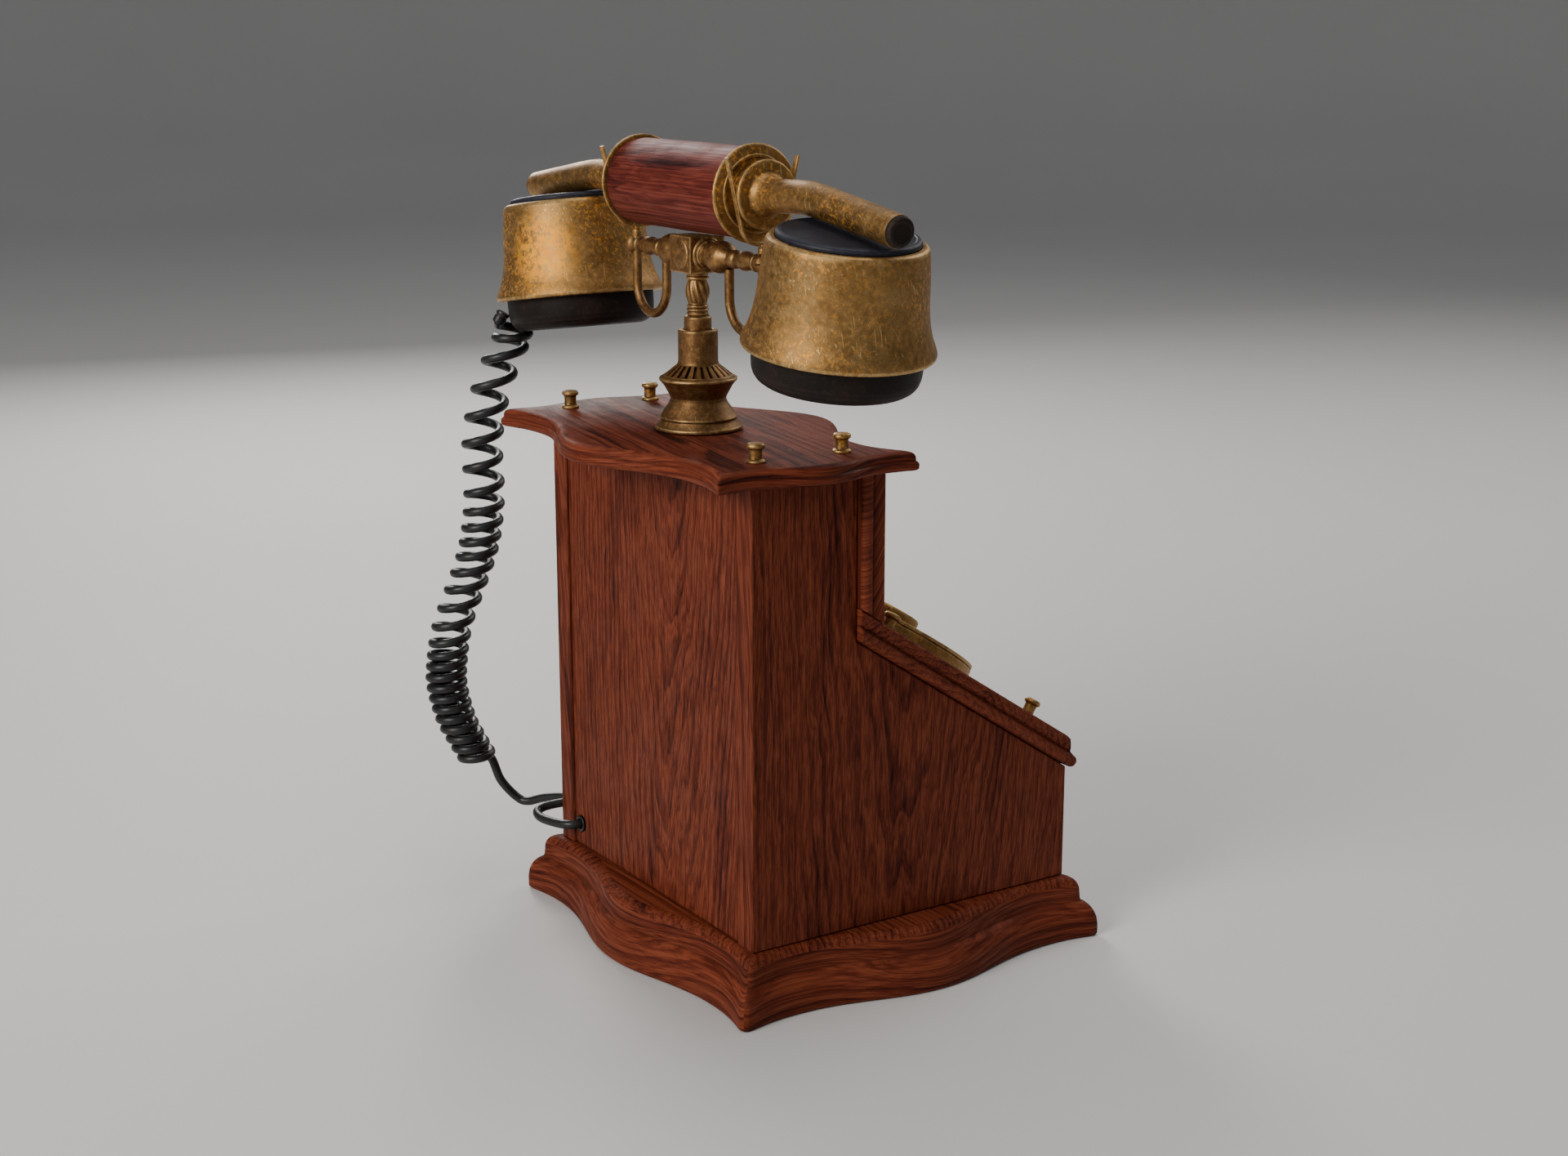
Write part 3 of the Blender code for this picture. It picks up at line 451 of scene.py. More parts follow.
def wood(name, light, middle, dark, spacing=0.0030, rough=0.50, fineness=1.0):
    """Wood whose grain runs along the grain attribute's first axis, with the tree's heart on that axis."""
    g = Graph(name)
    grain = g.node("Attribute", output=1, attribute_name="grain")
    edge, crevice = g.wear_and_shade()

    def drawn_out(stretch, scale, detail, roughness=0.5):
        return g.noise(g.scaled(grain, (stretch, 1, 1)), scale, detail, roughness)

    slow, ripple = drawn_out(0.16, 28.0, 3.0, 0.55), drawn_out(0.12, 170.0, 2.0)
    heart = g.node("VectorMath", {0: g.scaled(grain, (0, 1, 1))}, 1, operation="LENGTH")
    rings = heart + (slow * 0.015 + ripple * 0.0026)
    band = (rings * (1 / spacing)).math("FRACT")
    late = band.step(0.35, 0.90) * band.step(0.93, 1.0, 1.0, 0.0)
    narrow = ((rings + ripple * 0.003) * (2.7 / spacing)).math("FRACT")
    narrow = narrow.step(0.25, 0.80) * narrow.step(0.86, 1.0, 1.0, 0.0)
    tone = drawn_out(0.07, 60.0, 4.0, 0.62)
    streak = drawn_out(0.014, 620.0 * fineness, 3.0, 0.62)
    thread = drawn_out(0.009, 1300.0 * fineness, 2.0, 0.6)
    fibre = drawn_out(0.010, 2600.0 * fineness, 2.0, 0.6)
    pore = drawn_out(0.045, 2600.0, 1.0).step(0.60, 0.68)
    shade = late * tone.step(0.34, 0.68, 0.12, 0.40) + streak.step(0.38, 0.66) * 0.24
    shade = shade + narrow * 0.16 + thread.step(0.36, 0.66) * 0.22 + fibre.step(0.35, 0.70) * 0.12
    shade = shade + tone.step(0.50, 0.74) * 0.26 + pore * 0.07
    colour = g.ramp(shade, [(0.08, light), (0.50, middle), (0.95, dark), (1.0, tinted(dark, 0.8))])
    rub = edge * g.noise(grain, 240.0, 4.0).step(0.35, 0.65, 0.05, 0.40)
    colour = g.mix(rub, colour, [min(1.0, c * 1.35 + 0.006) for c in light])
    # painted shade: the crevices are darkened to near black
    colour = g.mix(crevice * 0.6, colour, (0.012, 0.003, 0.002))
    roughness = shade * 0.10 + (rough - 0.06) + g.noise(grain, 70.0, 4.0).step(0.3, 0.7) * 0.12
    height = pore * -0.8 + (late * -0.25 + (fibre + thread) * 0.30)
    return g.finish(Base_Color=colour, Roughness=roughness, Normal=g.bump(height, 0.34, 0.00022),
                    Specular_IOR_Level=0.10)


def brass(name, deep, body, gold, patina, gold_share, patina_share, scratch, rough, spot=None):
    """Old brass: brown and tan clouds, golden flecks, dull patches, pits, scratches and rubbed edges."""
    g = Graph(name)
    place = g.object_place()
    edge, crevice = g.wear_and_shade()

    def elsewhere(offset, *settings):
        return g.noise(g.shifted(place, offset), *settings)

    cloud = g.noise(place, 34.0, 6.0, 0.62)
    fine = elsewhere((0.31, 0.17, 0.05), 300.0, 7.0, 0.74)
    colour = g.mix(cloud.step(0.30, 0.70), deep, body)
    colour = g.mix(fine.step(0.48, 0.64) * 0.50, colour, tinted(body, 1.35, 1.40, 1.7))
    colour = g.mix(fine.step(0.50, 0.36) * 0.40, colour, tinted(deep, 0.68, 0.66, 0.7))
    blobs = elsewhere((0.7, 0.2, 0.9), 30.0, 3.0, 0.5).step(0.46, 0.66, 0.30, 1.0)
    golden = blobs * elsewhere((0.4, 0.9, 0.3), 560.0, 7.0, 0.80).step(0.525, 0.575) * gold_share
    if spot:
        centre, size = spot
        away = g.node("VectorMath", {0: place, 1: centre}, 1, operation="DISTANCE")
        dense = elsewhere((0.1, 0.3, 0.6), 400.0, 8.0, 0.80).step(0.43, 0.53)
        golden = golden.larger(away.step(size, size * 0.25) * dense)
    warm = g.mix(elsewhere((0.5, 0.5, 0.2), 150.0, 5.0, 0.7), gold, tinted(gold, 1.0, 0.62, 0.5))
    colour = g.mix(golden, colour, warm)
    green = elsewhere((0.2, 0.6, 0.1), 30.0, 4.0, 0.6).step(0.52, 0.68)
    dull = green * elsewhere((0.8, 0.1, 0.5), 700.0, 5.0, 0.7).step(0.47, 0.60) * patina_share
    colour = g.mix(dull, colour, patina)
    pits = elsewhere((0.11, 0.47, 0.29), 1300.0, 3.0, 0.6).step(0.66, 0.74)
    colour = g.mix(pits * 0.5, colour, (0.03, 0.018, 0.008))
    scratches = None
    for angles, offset in (((0.3, 0.5, 0.2), 0.1), ((1.3, 0.2, 1.1), 0.7), ((0.9, 1.6, 0.4), 0.35),
                           ((0.1, 1.5, 0.0), 0.9)):
        along = g.shifted(g.turned(place, angles), (offset, offset * 2, offset * 3))
        lines = g.noise(g.scaled(along, (0.009, 1, 1)), 1500.0, 1.0).step(0.690, 0.725)
        lines = lines * g.noise(along, 75.0, 2.0).step(0.50, 0.60)
        scratches = scratches.larger(lines) if scratches else lines
    scratches = scratches * scratch
    colour = g.mix(scratches * 0.60, colour, (0.84, 0.58, 0.22))
    rub = edge * fine.step(0.36, 0.60, 0.15, 0.65)
    colour = g.mix(rub, colour, (0.72, 0.50, 0.22))
    # painted shade: the crevices are darkened to a near-black brown
    colour = g.mix(crevice * 0.65, colour, (0.035, 0.020, 0.008))
    roughness = cloud.step(0.7, 0.3) * 0.10 + (rough - 0.05) + dull.larger(golden) * 0.14
    roughness = roughness + fine.step(0.35, 0.65) * 0.10 + rub.larger(scratches) * -0.08
    metal = dull.larger(golden).larger(pits * 0.6) * -0.40 + 0.92
    height = fine * 0.5 + (scratches * -0.5 + pits * -0.7) + dull * 0.25
    return g.finish(Base_Color=colour, Roughness=roughness, Metallic=metal,
                    Normal=g.bump(height, 0.24, 0.00016))


def bakelite(name, base, haze, warm, rough, gloss):
    """Worn bakelite with a warm cloud, a dusty haze, hairlines and greyed edges."""
    g = Graph(name)
    place = g.object_place()
    cloud = g.noise(place, 55.0, 5.0, 0.6)
    dust = g.noise(g.shifted(place, (0.3, 0.8, 0.2)), 620.0, 6.0, 0.7)
    colour = g.mix(cloud.step(0.42, 0.66), base, warm)
    colour = g.mix(dust.step(0.52, 0.70) * 0.55, colour, haze)
    lines = g.noise(g.scaled(g.turned(place, (0.4, 0.8, 0.1)), (0.03, 1, 1)), 1300.0, 1.0).step(0.70, 0.74)
    colour = g.mix(lines * 0.35, colour, haze)
    colour = g.mix(g.wear_and_shade()[0] * dust.step(0.38, 0.58, 0.2, 0.75), colour, tinted(haze, 1.9))
    roughness = cloud.step(0.35, 0.7) * 0.16 + (dust.step(0.4, 0.7) * 0.14 + rough)
    normal = g.bump(dust * 0.6 + lines * -0.5, 0.14, 0.00012)
    return g.finish(Base_Color=colour, Roughness=roughness, Normal=normal, Specular_IOR_Level=gloss)


def plain(name, base, other, rough, metallic, scale, bump):
    """A simple surface with cloudy colour, fine grit and uneven gloss."""
    g = Graph(name)
    place = g.object_place()
    cloud, grit = g.noise(place, scale * 0.2, 4.0, 0.6), g.noise(place, scale * 4, 4.0, 0.65)
    colour = g.mix(cloud.step(0.35, 0.68), base, other)
    colour = g.mix(grit.step(0.58, 0.72) * 0.35, colour, tinted(base, 0.5))
    roughness = cloud * 0.18 + (grit * 0.10 + (rough - 0.12))
    return g.finish(Base_Color=colour, Roughness=roughness, Metallic=metallic,
                    Normal=g.bump(grit, bump, 0.0001))


MAHOGANY = wood("mahogany", (0.215, 0.050, 0.0215), (0.108, 0.0195, 0.0085), (0.030, 0.0050, 0.0036))
GRIP_WOOD = wood("grip mahogany", (0.210, 0.046, 0.030), (0.104, 0.0180, 0.0125), (0.028, 0.0042, 0.0040),
                 spacing=0.0022, rough=0.52, fineness=1.25)
AGED_BRASS = brass("aged brass", (0.210, 0.112, 0.036), (0.340, 0.194, 0.066), (0.98, 0.52, 0.06),
                   (0.25, 0.20, 0.10), 0.70, 0.50, 1.0, 0.46)
EAR_BRASS = brass("aged brass with a golden patch", (0.215, 0.114, 0.038), (0.350, 0.200, 0.070),
                  (1.0, 0.52, 0.03), (0.28, 0.22, 0.10), 0.60, 0.40, 1.0, 0.48,
                  spot=((0.083, 0.076, 0.288), 0.022))
BRONZE = brass("bronzed brass", (0.135, 0.066, 0.024), (0.270, 0.145, 0.052), (0.66, 0.36, 0.09),
               (0.17, 0.13, 0.07), 0.45, 0.35, 0.5, 0.44)
GEAR_BRASS = brass("cut brass", (0.36, 0.22, 0.07), (0.56, 0.38, 0.14), (0.80, 0.55, 0.20),
                   (0.26, 0.21, 0.11), 0.3, 0.2, 0.5, 0.32)
BAKELITE = bakelite("black bakelite", (0.0085, 0.0055, 0.0045), (0.040, 0.026, 0.020),
                    (0.018, 0.0105, 0.0080), 0.46, 0.16)
LID_BAKELITE = bakelite("blue-black bakelite", (0.009, 0.010, 0.017), (0.028, 0.028, 0.040),
                        (0.013, 0.014, 0.023), 0.44, 0.26)
RUBBER = plain("black rubber", (0.0055, 0.0055, 0.0062), (0.010, 0.010, 0.011), 0.40, 0.0, 260.0, 0.10)
ENAMEL = plain("cream enamel", (0.66, 0.61, 0.48), (0.56, 0.50, 0.37), 0.30, 0.0, 160.0, 0.04)
INK = plain("black enamel", (0.012, 0.012, 0.013), (0.022, 0.021, 0.020), 0.38, 0.0, 260.0, 0.05)
STEEL = plain("dull steel", (0.42, 0.42, 0.43), (0.28, 0.28, 0.29), 0.40, 1.0, 220.0, 0.15)
IRON = plain("black iron", (0.045, 0.045, 0.048), (0.085, 0.075, 0.068), 0.60, 0.8, 200.0, 0.35)
COPPER = plain("enamelled copper", (0.42, 0.16, 0.06), (0.58, 0.27, 0.11), 0.36, 1.0, 300.0, 0.20)


# ---------------------------------------------------------------- handset cord
CORD_HOLE = Vector((0.0635, 0.072, 0.0363))
CORD_ROOT = Vector((0.1176, 0.0757, 0.2572))
CORD_START = Vector((0.1191, 0.0784, 0.2521))
COIL_X = 0.118
# how far back the coil's axis is at each height, and the height of each turn's left-hand end
COIL_AXIS = mm([
    (254, 68.4), (246.2, 71.4), (236.4, 76.9), (224.2, 82.4), (211.8, 85.9), (199.5, 87.7), (178, 87.5),
    (162.4, 89.2), (149.7, 92.5), (135.3, 98.6), (119.3, 105.3), (103, 108.4), (91.8, 108.6), (76.9, 105),
    (66.7, 100.2), (54, 93.5)])
TURNS = [height * MM for height in (252.2, 246.2, 236.4, 224.2, 211.8, 200.1, 188.8, 177.7, 169.5, 162.4, 156,
                                    149.7, 142.7, 135.3, 127.3, 119.3, 112.1)]
TURNS += [0.1066 - 0.0050 * k for k in range(11)]
CABLE_ROUTE = mm([
    (121.6, 86.2, 52.9), (117.6, 83.7, 43.2), (115, 77, 34.5), (111, 73.5, 33.2), (104, 69, 36),
    (96, 64.4, 38), (90.5, 62.2, 38.6), (86.8, 64, 38.9), (86.2, 67.2, 38.8), (88, 72.2, 38.2),
    (89, 77.2, 37.4), (87.5, 80.8, 36.4), (81.5, 81.8, 35.6), (72.5, 79.5, 35.6), (66, 76.8, 36.1),
    (63.6, 73.5, 36.3)])
WIRE_RADIUS = 0.0020
HELIX_RADIUS = 0.0074
FIRST_DROP, FIRST_NARROWING = 0.0020, 0.10    # how the first turn hangs lower and is narrower
DEPTH_IN_HOLE = 0.003
TURN_LEFT = Vector((0.5446, 0.8387, 0.0))     # from the axis to a turn's left-hand end
TURN_FAR = Vector((0.8387, -0.5446, 0.0))
STEPS_IN_TURN = 22


def curve_value(values, t):
    """A smooth curve through values at 0, 1, 2 and so on."""
    k = max(0, min(len(values) - 2, int(t)))
    b, c = values[k], values[k + 1]
    a = values[k - 1] if k else 2 * b - c
    d = values[k + 2] if k + 2 < len(values) else 2 * c - b
    return catmull_rom(a, b, c, d, t - k)


def ease(t):
    t = max(0.0, min(1.0, t))
    return t * t * (3 - 2 * t)


def cord_line():
    """The cord's centreline: level turns round the coil's axis, then the plain lead into the cabinet."""
    axis = smooth_path([(COIL_X, y, z) for z, y in COIL_AXIS], 1600)
    line, k = [], 0
    last = len(TURNS) - 1
    for i in range(2, last * STEPS_IN_TURN + 7):
        t = i / STEPS_IN_TURN
        first = sin(pi * min(1.0, t))
        z = curve_value(TURNS, t) - FIRST_DROP * first
        while k < len(axis) - 2 and axis[k + 1].z > z:
            k += 1
        angle = 2 * pi * t
        radius = HELIX_RADIUS * (1 - FIRST_NARROWING * first)
        point = Vector((COIL_X, axis[k].y, z)) + radius * (cos(angle) * TURN_LEFT + sin(angle) * TURN_FAR)
        line.append(CORD_START.lerp(point, ease(0.15 + t / 0.45)))
    inside = CORD_HOLE + Vector((0, -DEPTH_IN_HOLE, 0))
    lead = smooth_path([line[-2], line[-1]] + CABLE_ROUTE + [inside], 160)
    passed = min(range(40), key=lambda i: (lead[i] - line[-1]).length)
    lead = lead[passed + 2:]
    return [CORD_START - (CORD_START - CORD_ROOT) * 0.3] + line + lead


cord_path = cord_line()
cord_mesh = mesh_of("handset_cord", sweep(cord_path, WIRE_RADIUS, 14, Vector((1, 0, 0))), 60)
cord_mesh.materials.append(RUBBER)
handset_cord = new_object("handset_cord", cord_mesh)
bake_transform(handset_cord)
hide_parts("cord_coil", "cord_cable")
tuple(cord_path[-1])
round(path_length(cord_path), 3)
[tuple(p) for p in cord_path[::-1]]


# ---------------------------------------------------------------- cabinet
def rounded_corners(outline, steps, skip, share, parts):
    """Rounds an outline's corners, which are at every steps-th point, skipping the points nearest to them."""
    result, n = [], len(outline)
    for i in range(0, n, steps):
        corner = Vector(outline[i])
        start = Vector(outline[i - skip - 1]).lerp(Vector(outline[i - skip]), share)
        end = Vector(outline[(i + skip + 1) % n]).lerp(Vector(outline[(i + skip) % n]), share)
        for k in range(parts + 1):
            result.append(tuple(bend(start, corner, end, k / parts)))
        result += outline[i + skip + 1:i + steps - skip]
    return result


def serpentine(half_x, rear, front, waves, inset, steps):
    """A board's outline: a belly in the middle of each side, a dip beside it and a point at each corner."""
    turn_point = 0.72

    def wave(u, dip, belly):
        a = abs(u)
        if a <= turn_point:
            return dip + (belly - dip) * ((1 + cos(pi * a / turn_point)) / 2) ** 1.2
        k = (a - turn_point) / (1 - turn_point)
        return dip * (1 - k * k)

    middle, half_x, half_y = (rear + front) / 2, half_x - inset, (rear - front) / 2 - inset
    rear_wave, side_wave, front_wave = waves
    outline = []
    for across, out, (c, s), side in ((half_x, half_y, (0, 1), rear_wave),
                                      (half_y, half_x, (-1, 0), side_wave),
                                      (half_x, half_y, (0, -1), front_wave),
                                      (half_y, half_x, (1, 0), side_wave)):
        for k in range(steps):
            u = 2 * k / steps - 1
            reach = out + wave(u, *side)
            outline.append((c * reach - s * across * u, middle + s * reach + c * across * u))
    return outline


OUTLINE_STEPS = 44


def moulded(profile, half_x, rear, front, waves, skip, share):
    """A board whose edge has a profile of (inset, height, edge amount) all round; the edge amount marks a
    rubbed edge where positive and painted shade where negative. A face's tag is four times its ring plus its
    side, and -1 above and below."""
    rings, parts = [], 3 + 3 * skip
    side_count = OUTLINE_STEPS - 2 * skip + parts
    for inset, z, _ in profile:
        outline = serpentine(half_x, rear, front, waves, inset, OUTLINE_STEPS)
        outline = rounded_corners(outline, OUTLINE_STEPS, skip, share, parts)
        rings.append([Vector((x, y, z)) for x, y in outline])

    def tag(ring, i):
        return -1 if i < 0 else ring * 4 + (i - parts // 2) // side_count % 4

    return skin(rings, [w for _, _, w in profile], tag=tag)


def curve_profile(points):
    """(inset, z) with rounded corners. The points go up the outside, with the board on their left."""
    return [(-x, z, w) for x, z, w in soften([(-i, z) for i, z in mm(points)], 0.0005)]


plinth_profile = curve_profile([
    (1, 0), (0, 0.9), (0, 5.2), (0.4, 8.5), (1.2, 11), (2.4, 13.1), (4, 14.7), (5.4, 15.5), (5.7, 16.5),
    (6, 21.2), (6.6, 23.1), (7.7, 24.6), (9, 25.4), (10.4, PLINTH_TOP / MM)])


# Each board's wood starts from a place of its own, so no two boards look alike.
def strip_grain(profile, across_from, heart):
    """Wood laid in four mitred strips: the grain runs along each side, and across above one height."""
    def grain(p, tag):
        if tag < 0:
            return (p.x, p.y + 0.2, p.z + heart)
        ring, side = divmod(tag, 4)
        along, out = (p.x, p.y) if side in (0, 2) else (p.y, p.x)
        if profile[min(ring, len(profile) - 1)][1] >= across_from:
            return (abs(out) + 3.1, along + 0.37 * side, p.z + heart)
        return (along + 0.5 * side, p.z + abs(out) * 0.35 + 0.013 * side, heart + abs(out) * 0.25)
    return grain


plinth_wave = (-0.0045, 0.0069)
piece("plinth",
      moulded(plinth_profile, 0.0942, REAR_Y + 0.0140, FRONT_Y - 0.0126, (plinth_wave,) * 3, 1, 0.40),
      MAHOGANY, "cabinet", strip_grain(plinth_profile, 0.0225, 0.028), sharp=30)

top_profile = curve_profile([(2, BODY_TOP / MM), (0.8, 213.1), (0, 213.8), (0, 215.9), (0.4, 216.5),
                             (0.9, 216.9), (1, 218.6), (1.5, 219.7), (2.5, 220.3), (4, TABLE_TOP / MM)])
top_waves = ((-0.0050, 0.0124), (-0.0015, 0.0050), (-0.0080, 0.0145))


def top_grain(p, tag):
    if tag < 0:
        return (p.x * 0.985 - p.y * 0.17 + 0.9, p.y * 0.985 + p.x * 0.17 - 0.055, p.z - 0.165)
    side = tag % 4
    along, out = (p.x, p.y) if side in (0, 2) else (p.y, p.x)
    return (along + 0.7 * side + 1.3, p.z * 1.2 + abs(out) * 0.3, 0.031 + 0.01 * side + abs(out) * 0.2)


piece("top_board", moulded(top_profile, 0.0899, REAR_Y + 0.0208, 0.0003, top_waves, 0, 0.25), MAHOGANY,
      "cabinet", top_grain, sharp=30)


def slope_underside(y):
    return SLOPE_START.z + (y - SLOPE_START.y) * tan(SLOPE_ANGLE)


def slope_top(y):
    return slope_underside(y) + BOARD_THICKNESS / cos(SLOPE_ANGLE)


def on_slope(x, along, above):
    return Vector((x, 0, 0)) + SLOPE_START + SLOPE_DOWN * along + SLOPE_NORMAL * (BOARD_THICKNESS + above)


def hole(radius, centre, turn, reach=30):
    return lathe([(0, -reach), (radius, -reach), (radius, reach), (0, reach)], 40,
                 radius=0).moved(at(centre, turn))


def upright_grain(across_heart, depth_heart, lean, offset, by_y):
    """Wood whose grain runs up; the tree's heart lies behind the face and leans, which draws the arches."""
    def grain(p, tag):
        across, depth = (p.y, p.x) if by_y else (p.x, p.y)
        return (p.z + offset, across - across_heart + 0.04 * p.z, depth_heart + lean * p.z + 0.9 * depth)
    return grain


bottom, top = PLINTH_TOP + GAP, BODY_TOP - GAP
side_outline = [(REAR_Y, bottom), (FRONT_Y, bottom), (FRONT_Y, slope_underside(FRONT_Y) - GAP),
                (NECK_Y, slope_underside(NECK_Y) - GAP), (NECK_Y, top), (REAR_Y, top)]
for side, x0 in (("left", -HALF_WIDTH), ("right", HALF_WIDTH - SIDE_THICKNESS)):
    panel = skin([[Vector((x, y, z)) for y, z in side_outline] for x in (x0, x0 + SIDE_THICKNESS)])
    cutters = [hole(5.3, (HALF_WIDTH, CRANK_Y, CRANK_Z), TO_X)] if side == "right" else ()
    heart = 0.122 if side == "left" else -0.046
    piece(f"side_panel_{side}", panel, MAHOGANY, "cabinet",
          upright_grain(0.004, heart, -0.10, 0.35 if side == "left" else 1.35, True), bevel=0.0005,
          cutters=cutters)

half = HALF_WIDTH - SIDE_THICKNESS - GAP
rear_front = REAR_Y - 0.0008
piece("rear_panel", block((-half, rear_front - PANEL_THICKNESS, bottom), (half, rear_front, top)), MAHOGANY,
      "cabinet", upright_grain(-0.012, -0.105, 0.12, 2.15, False), bevel=0.0012,
      cutters=[hole(3.2, CORD_HOLE, TO_REAR)])
y0, y1 = FRONT_Y + 0.0008, FRONT_Y + 0.0008 + PANEL_THICKNESS
front_outline = [(y0, bottom), (y1, bottom), (y1, slope_underside(y1) - GAP), (y0, slope_underside(y0) - GAP)]
piece("lower_front_panel", skin([[Vector((x, y, z)) for y, z in front_outline] for x in (-half, half)]),
      MAHOGANY, "cabinet", lambda p, tag: (p.x + 4.2, p.z - 0.02, 0.10 + p.y), bevel=0.0005)

# a board's moulded edge: a half-round bead at the inner face, then a cove. The third value of each point is
# its edge amount: a rubbed edge where positive, and painted shade where negative, at the bead's ends and in
# the groove before the cove.
BEAD = 0.0026
board_edge = []
for k in range(9):
    angle = pi * k / 8
    board_edge.append((BEAD * (1 - cos(angle)), BEAD * (1 - sin(angle)) * 0.85,
                       0.6 * sin(angle) if 0 < k < 8 else -0.4))
board_edge += [(0.0058, 0.0026, -0.5), (0.0062, 0.0022, 0.0), (0.0070, 0.0018, 0.0), (0.0085, 0.0015, 0.0),
               (0.0104, 0.0013, 0.2), (0.0110, 0.0019, 0.7)]


def bead_tag(ring, i):
    """0 on the long sides, 1 on the bead's ends and 2 on the ends beyond it."""
    return -1 if i < 0 else (1 if ring < 8 else 2) * (i % 2)


def front_board():
    """The upright board above the slope, with its moulded edge at both sides."""
    rings, wear_and_shade = [], []
    for depth, inset, wear_and_shade_level in board_edge:
        y, x = NECK_Y - GAP - depth, BOARD_HALF_WIDTH - inset
        low, high = slope_top(y) + GAP / cos(SLOPE_ANGLE), BODY_TOP - GAP
        rings.append([(-x, y, low), (x, y, low), (x, y, high), (-x, y, high)])
        wear_and_shade.append(wear_and_shade_level)
    return skin(rings, wear_and_shade, tag=bead_tag)


def front_board_grain(p, tag):
    if tag == 1:
        return (abs(p.x) + p.y * 0.8 + 7.3, p.z + 0.25 * p.y, 0.04)
    if tag == 2:
        return (p.z * 0.75 - p.y * 0.9 + 6.1, p.y * 0.9 + p.z * 0.45, 0.05)
    return (p.z + 5.2, p.x + 0.01, 0.06 + p.y)


piece("upper_front_board", front_board(), MAHOGANY, "cabinet", front_board_grain, sharp=30)


def slope_board():
    """The sloping board, with the same moulded edge at both sides and at its lower end."""
    nose, = mm([(127.5, 127.9, 128.3, 128.6, 128.7, 128.6, 128.3, 127.9, 127.5,
                 125.6, 124.6, 124, 122.8, 121, 119)])
    rings, wear_and_shade = [], []
    for (height, inset, wear_and_shade_level), end in zip(board_edge, nose):
        x = BOARD_HALF_WIDTH - inset
        start = (SLOPE_START.y - NECK_Y + GAP - height * sin(SLOPE_ANGLE)) / cos(SLOPE_ANGLE)
        corners = ((-x, start), (x, start), (x, end), (-x, end))
        rings.append([on_slope(sx, along, height - BOARD_THICKNESS) for sx, along in corners])
        wear_and_shade.append(wear_and_shade_level)
    return skin(rings, wear_and_shade, tag=bead_tag)


def slope_grain(p, tag):
    along = (p - SLOPE_START).dot(SLOPE_DOWN)
    above = (p - SLOPE_START).dot(SLOPE_NORMAL)
    if tag in (1, 2):
        return (along * 0.93 - above * 0.35 + 8.3, above * 0.93 + along * 0.35, 0.035)
    return (p.x + 9.2, along - 0.055, 0.05 + above)


piece("slope_board", slope_board(), MAHOGANY, "cabinet", slope_grain, sharp=30,
      cutters=[hole(6, on_slope(0, DIAL_DISTANCE, 0), TO_SLOPE)])

KNOB = [(0, 0), (3.7, 0), (3.7, 0.8, 0.3), (3.1, 1.3, 0.3), (2.6, 1.5, 0.2), (2.5, 3.2), (2.6, 5.2),
        (3, 5.4, 0.1), (3.5, 5.7, 0.3), (3.6, 6.5, 0.4), (3.2, 7.3, 0.4), (2, 7.6, 0.4), (0, 7.6)]
for end, y, along in (("rear", 0.0663, None), ("front", 0.0271, None), ("upper", None, 0.0190),
                      ("lower", None, 0.1070)):
    for side, way in (("left", -1), ("right", 1)):
        if along:
            place = at(on_slope(way * 0.067, along, 0), TO_SLOPE)
        else:
            place = at((way * 0.0742, y, TABLE_TOP))
        piece(f"{'slope' if along else 'top'}_knob_{end}_{side}", lathe(KNOB, 28, radius=0.25).moved(place),
              AGED_BRASS, "cabinet")


# ---------------------------------------------------------------- column
def column_shape():
    """A turned foot, two cones and a sleeve. The upper cone has radial slots."""
    slots, shares, sunk_shares = 24, (0.0, 0.28, 0.34, 0.66, 0.72), (0.34, 0.66)
    profile = [
        (3.2, 220.9), (17, 220.9), (17.7, 221.2, 0.3), (17.7, 222.2, 0.4), (16.8, 222.9), (15.7, 224.3),
        (15.3, 225.1, 0.2), (15.8, 225.5, 0.2), (15.8, 226.1, 0.3), (15.2, 226.8), (13.8, 229), (12.2, 231.2),
        (11.4, 232.8), (11.4, 234), (12.2, 235.6), (14, 238.8), (15.3, 240.4), (15.9, 241, 0.3),
        (15.9, 241.8, 0.4), (15, 242.3), (14.3, 242.5, 0.3), (14.1, 242.8), (13.5, 243.2), (13.4, 243.25),
        (9, 246.8), (8.9, 246.85), (8.4, 247.4), (8.2, 248), (8.1, 249), (8.1, 260.8), (7.6, 261.3),
        (5.8, 261.3), (5.8, 250), (3.2, 250)]
    rings, wear_and_shade = [], []
    for r, z, w in soften(mm(profile), 0.0003, 3, True):
        ring = []
        deep = 0.0016 if 0.24316 < z < 0.2469 and 0.0085 < r < 0.01395 else 0.0
        for k in range(slots):
            for share in shares:
                angle = 2 * pi * (k + share) / slots
                sunk = deep if share in sunk_shares else 0.0
                ring.append(Vector(((r - sunk) * cos(angle), (r - sunk) * sin(angle), z - sunk * 0.5)))
        rings.append(ring)
        # the slots' floors get -0.9, painted shade inside the slots
        wear_and_shade.append([-0.9 if deep and i % 5 in (2, 3) else w for i in range(len(ring))])
    return skin(rings, wear_and_shade, closed=True)


piece("cradle_column", column_shape().moved(at((0, COLUMN_Y, 0))), BRONZE, "cabinet")


# ---------------------------------------------------------------- cradle
FLUTES = 12


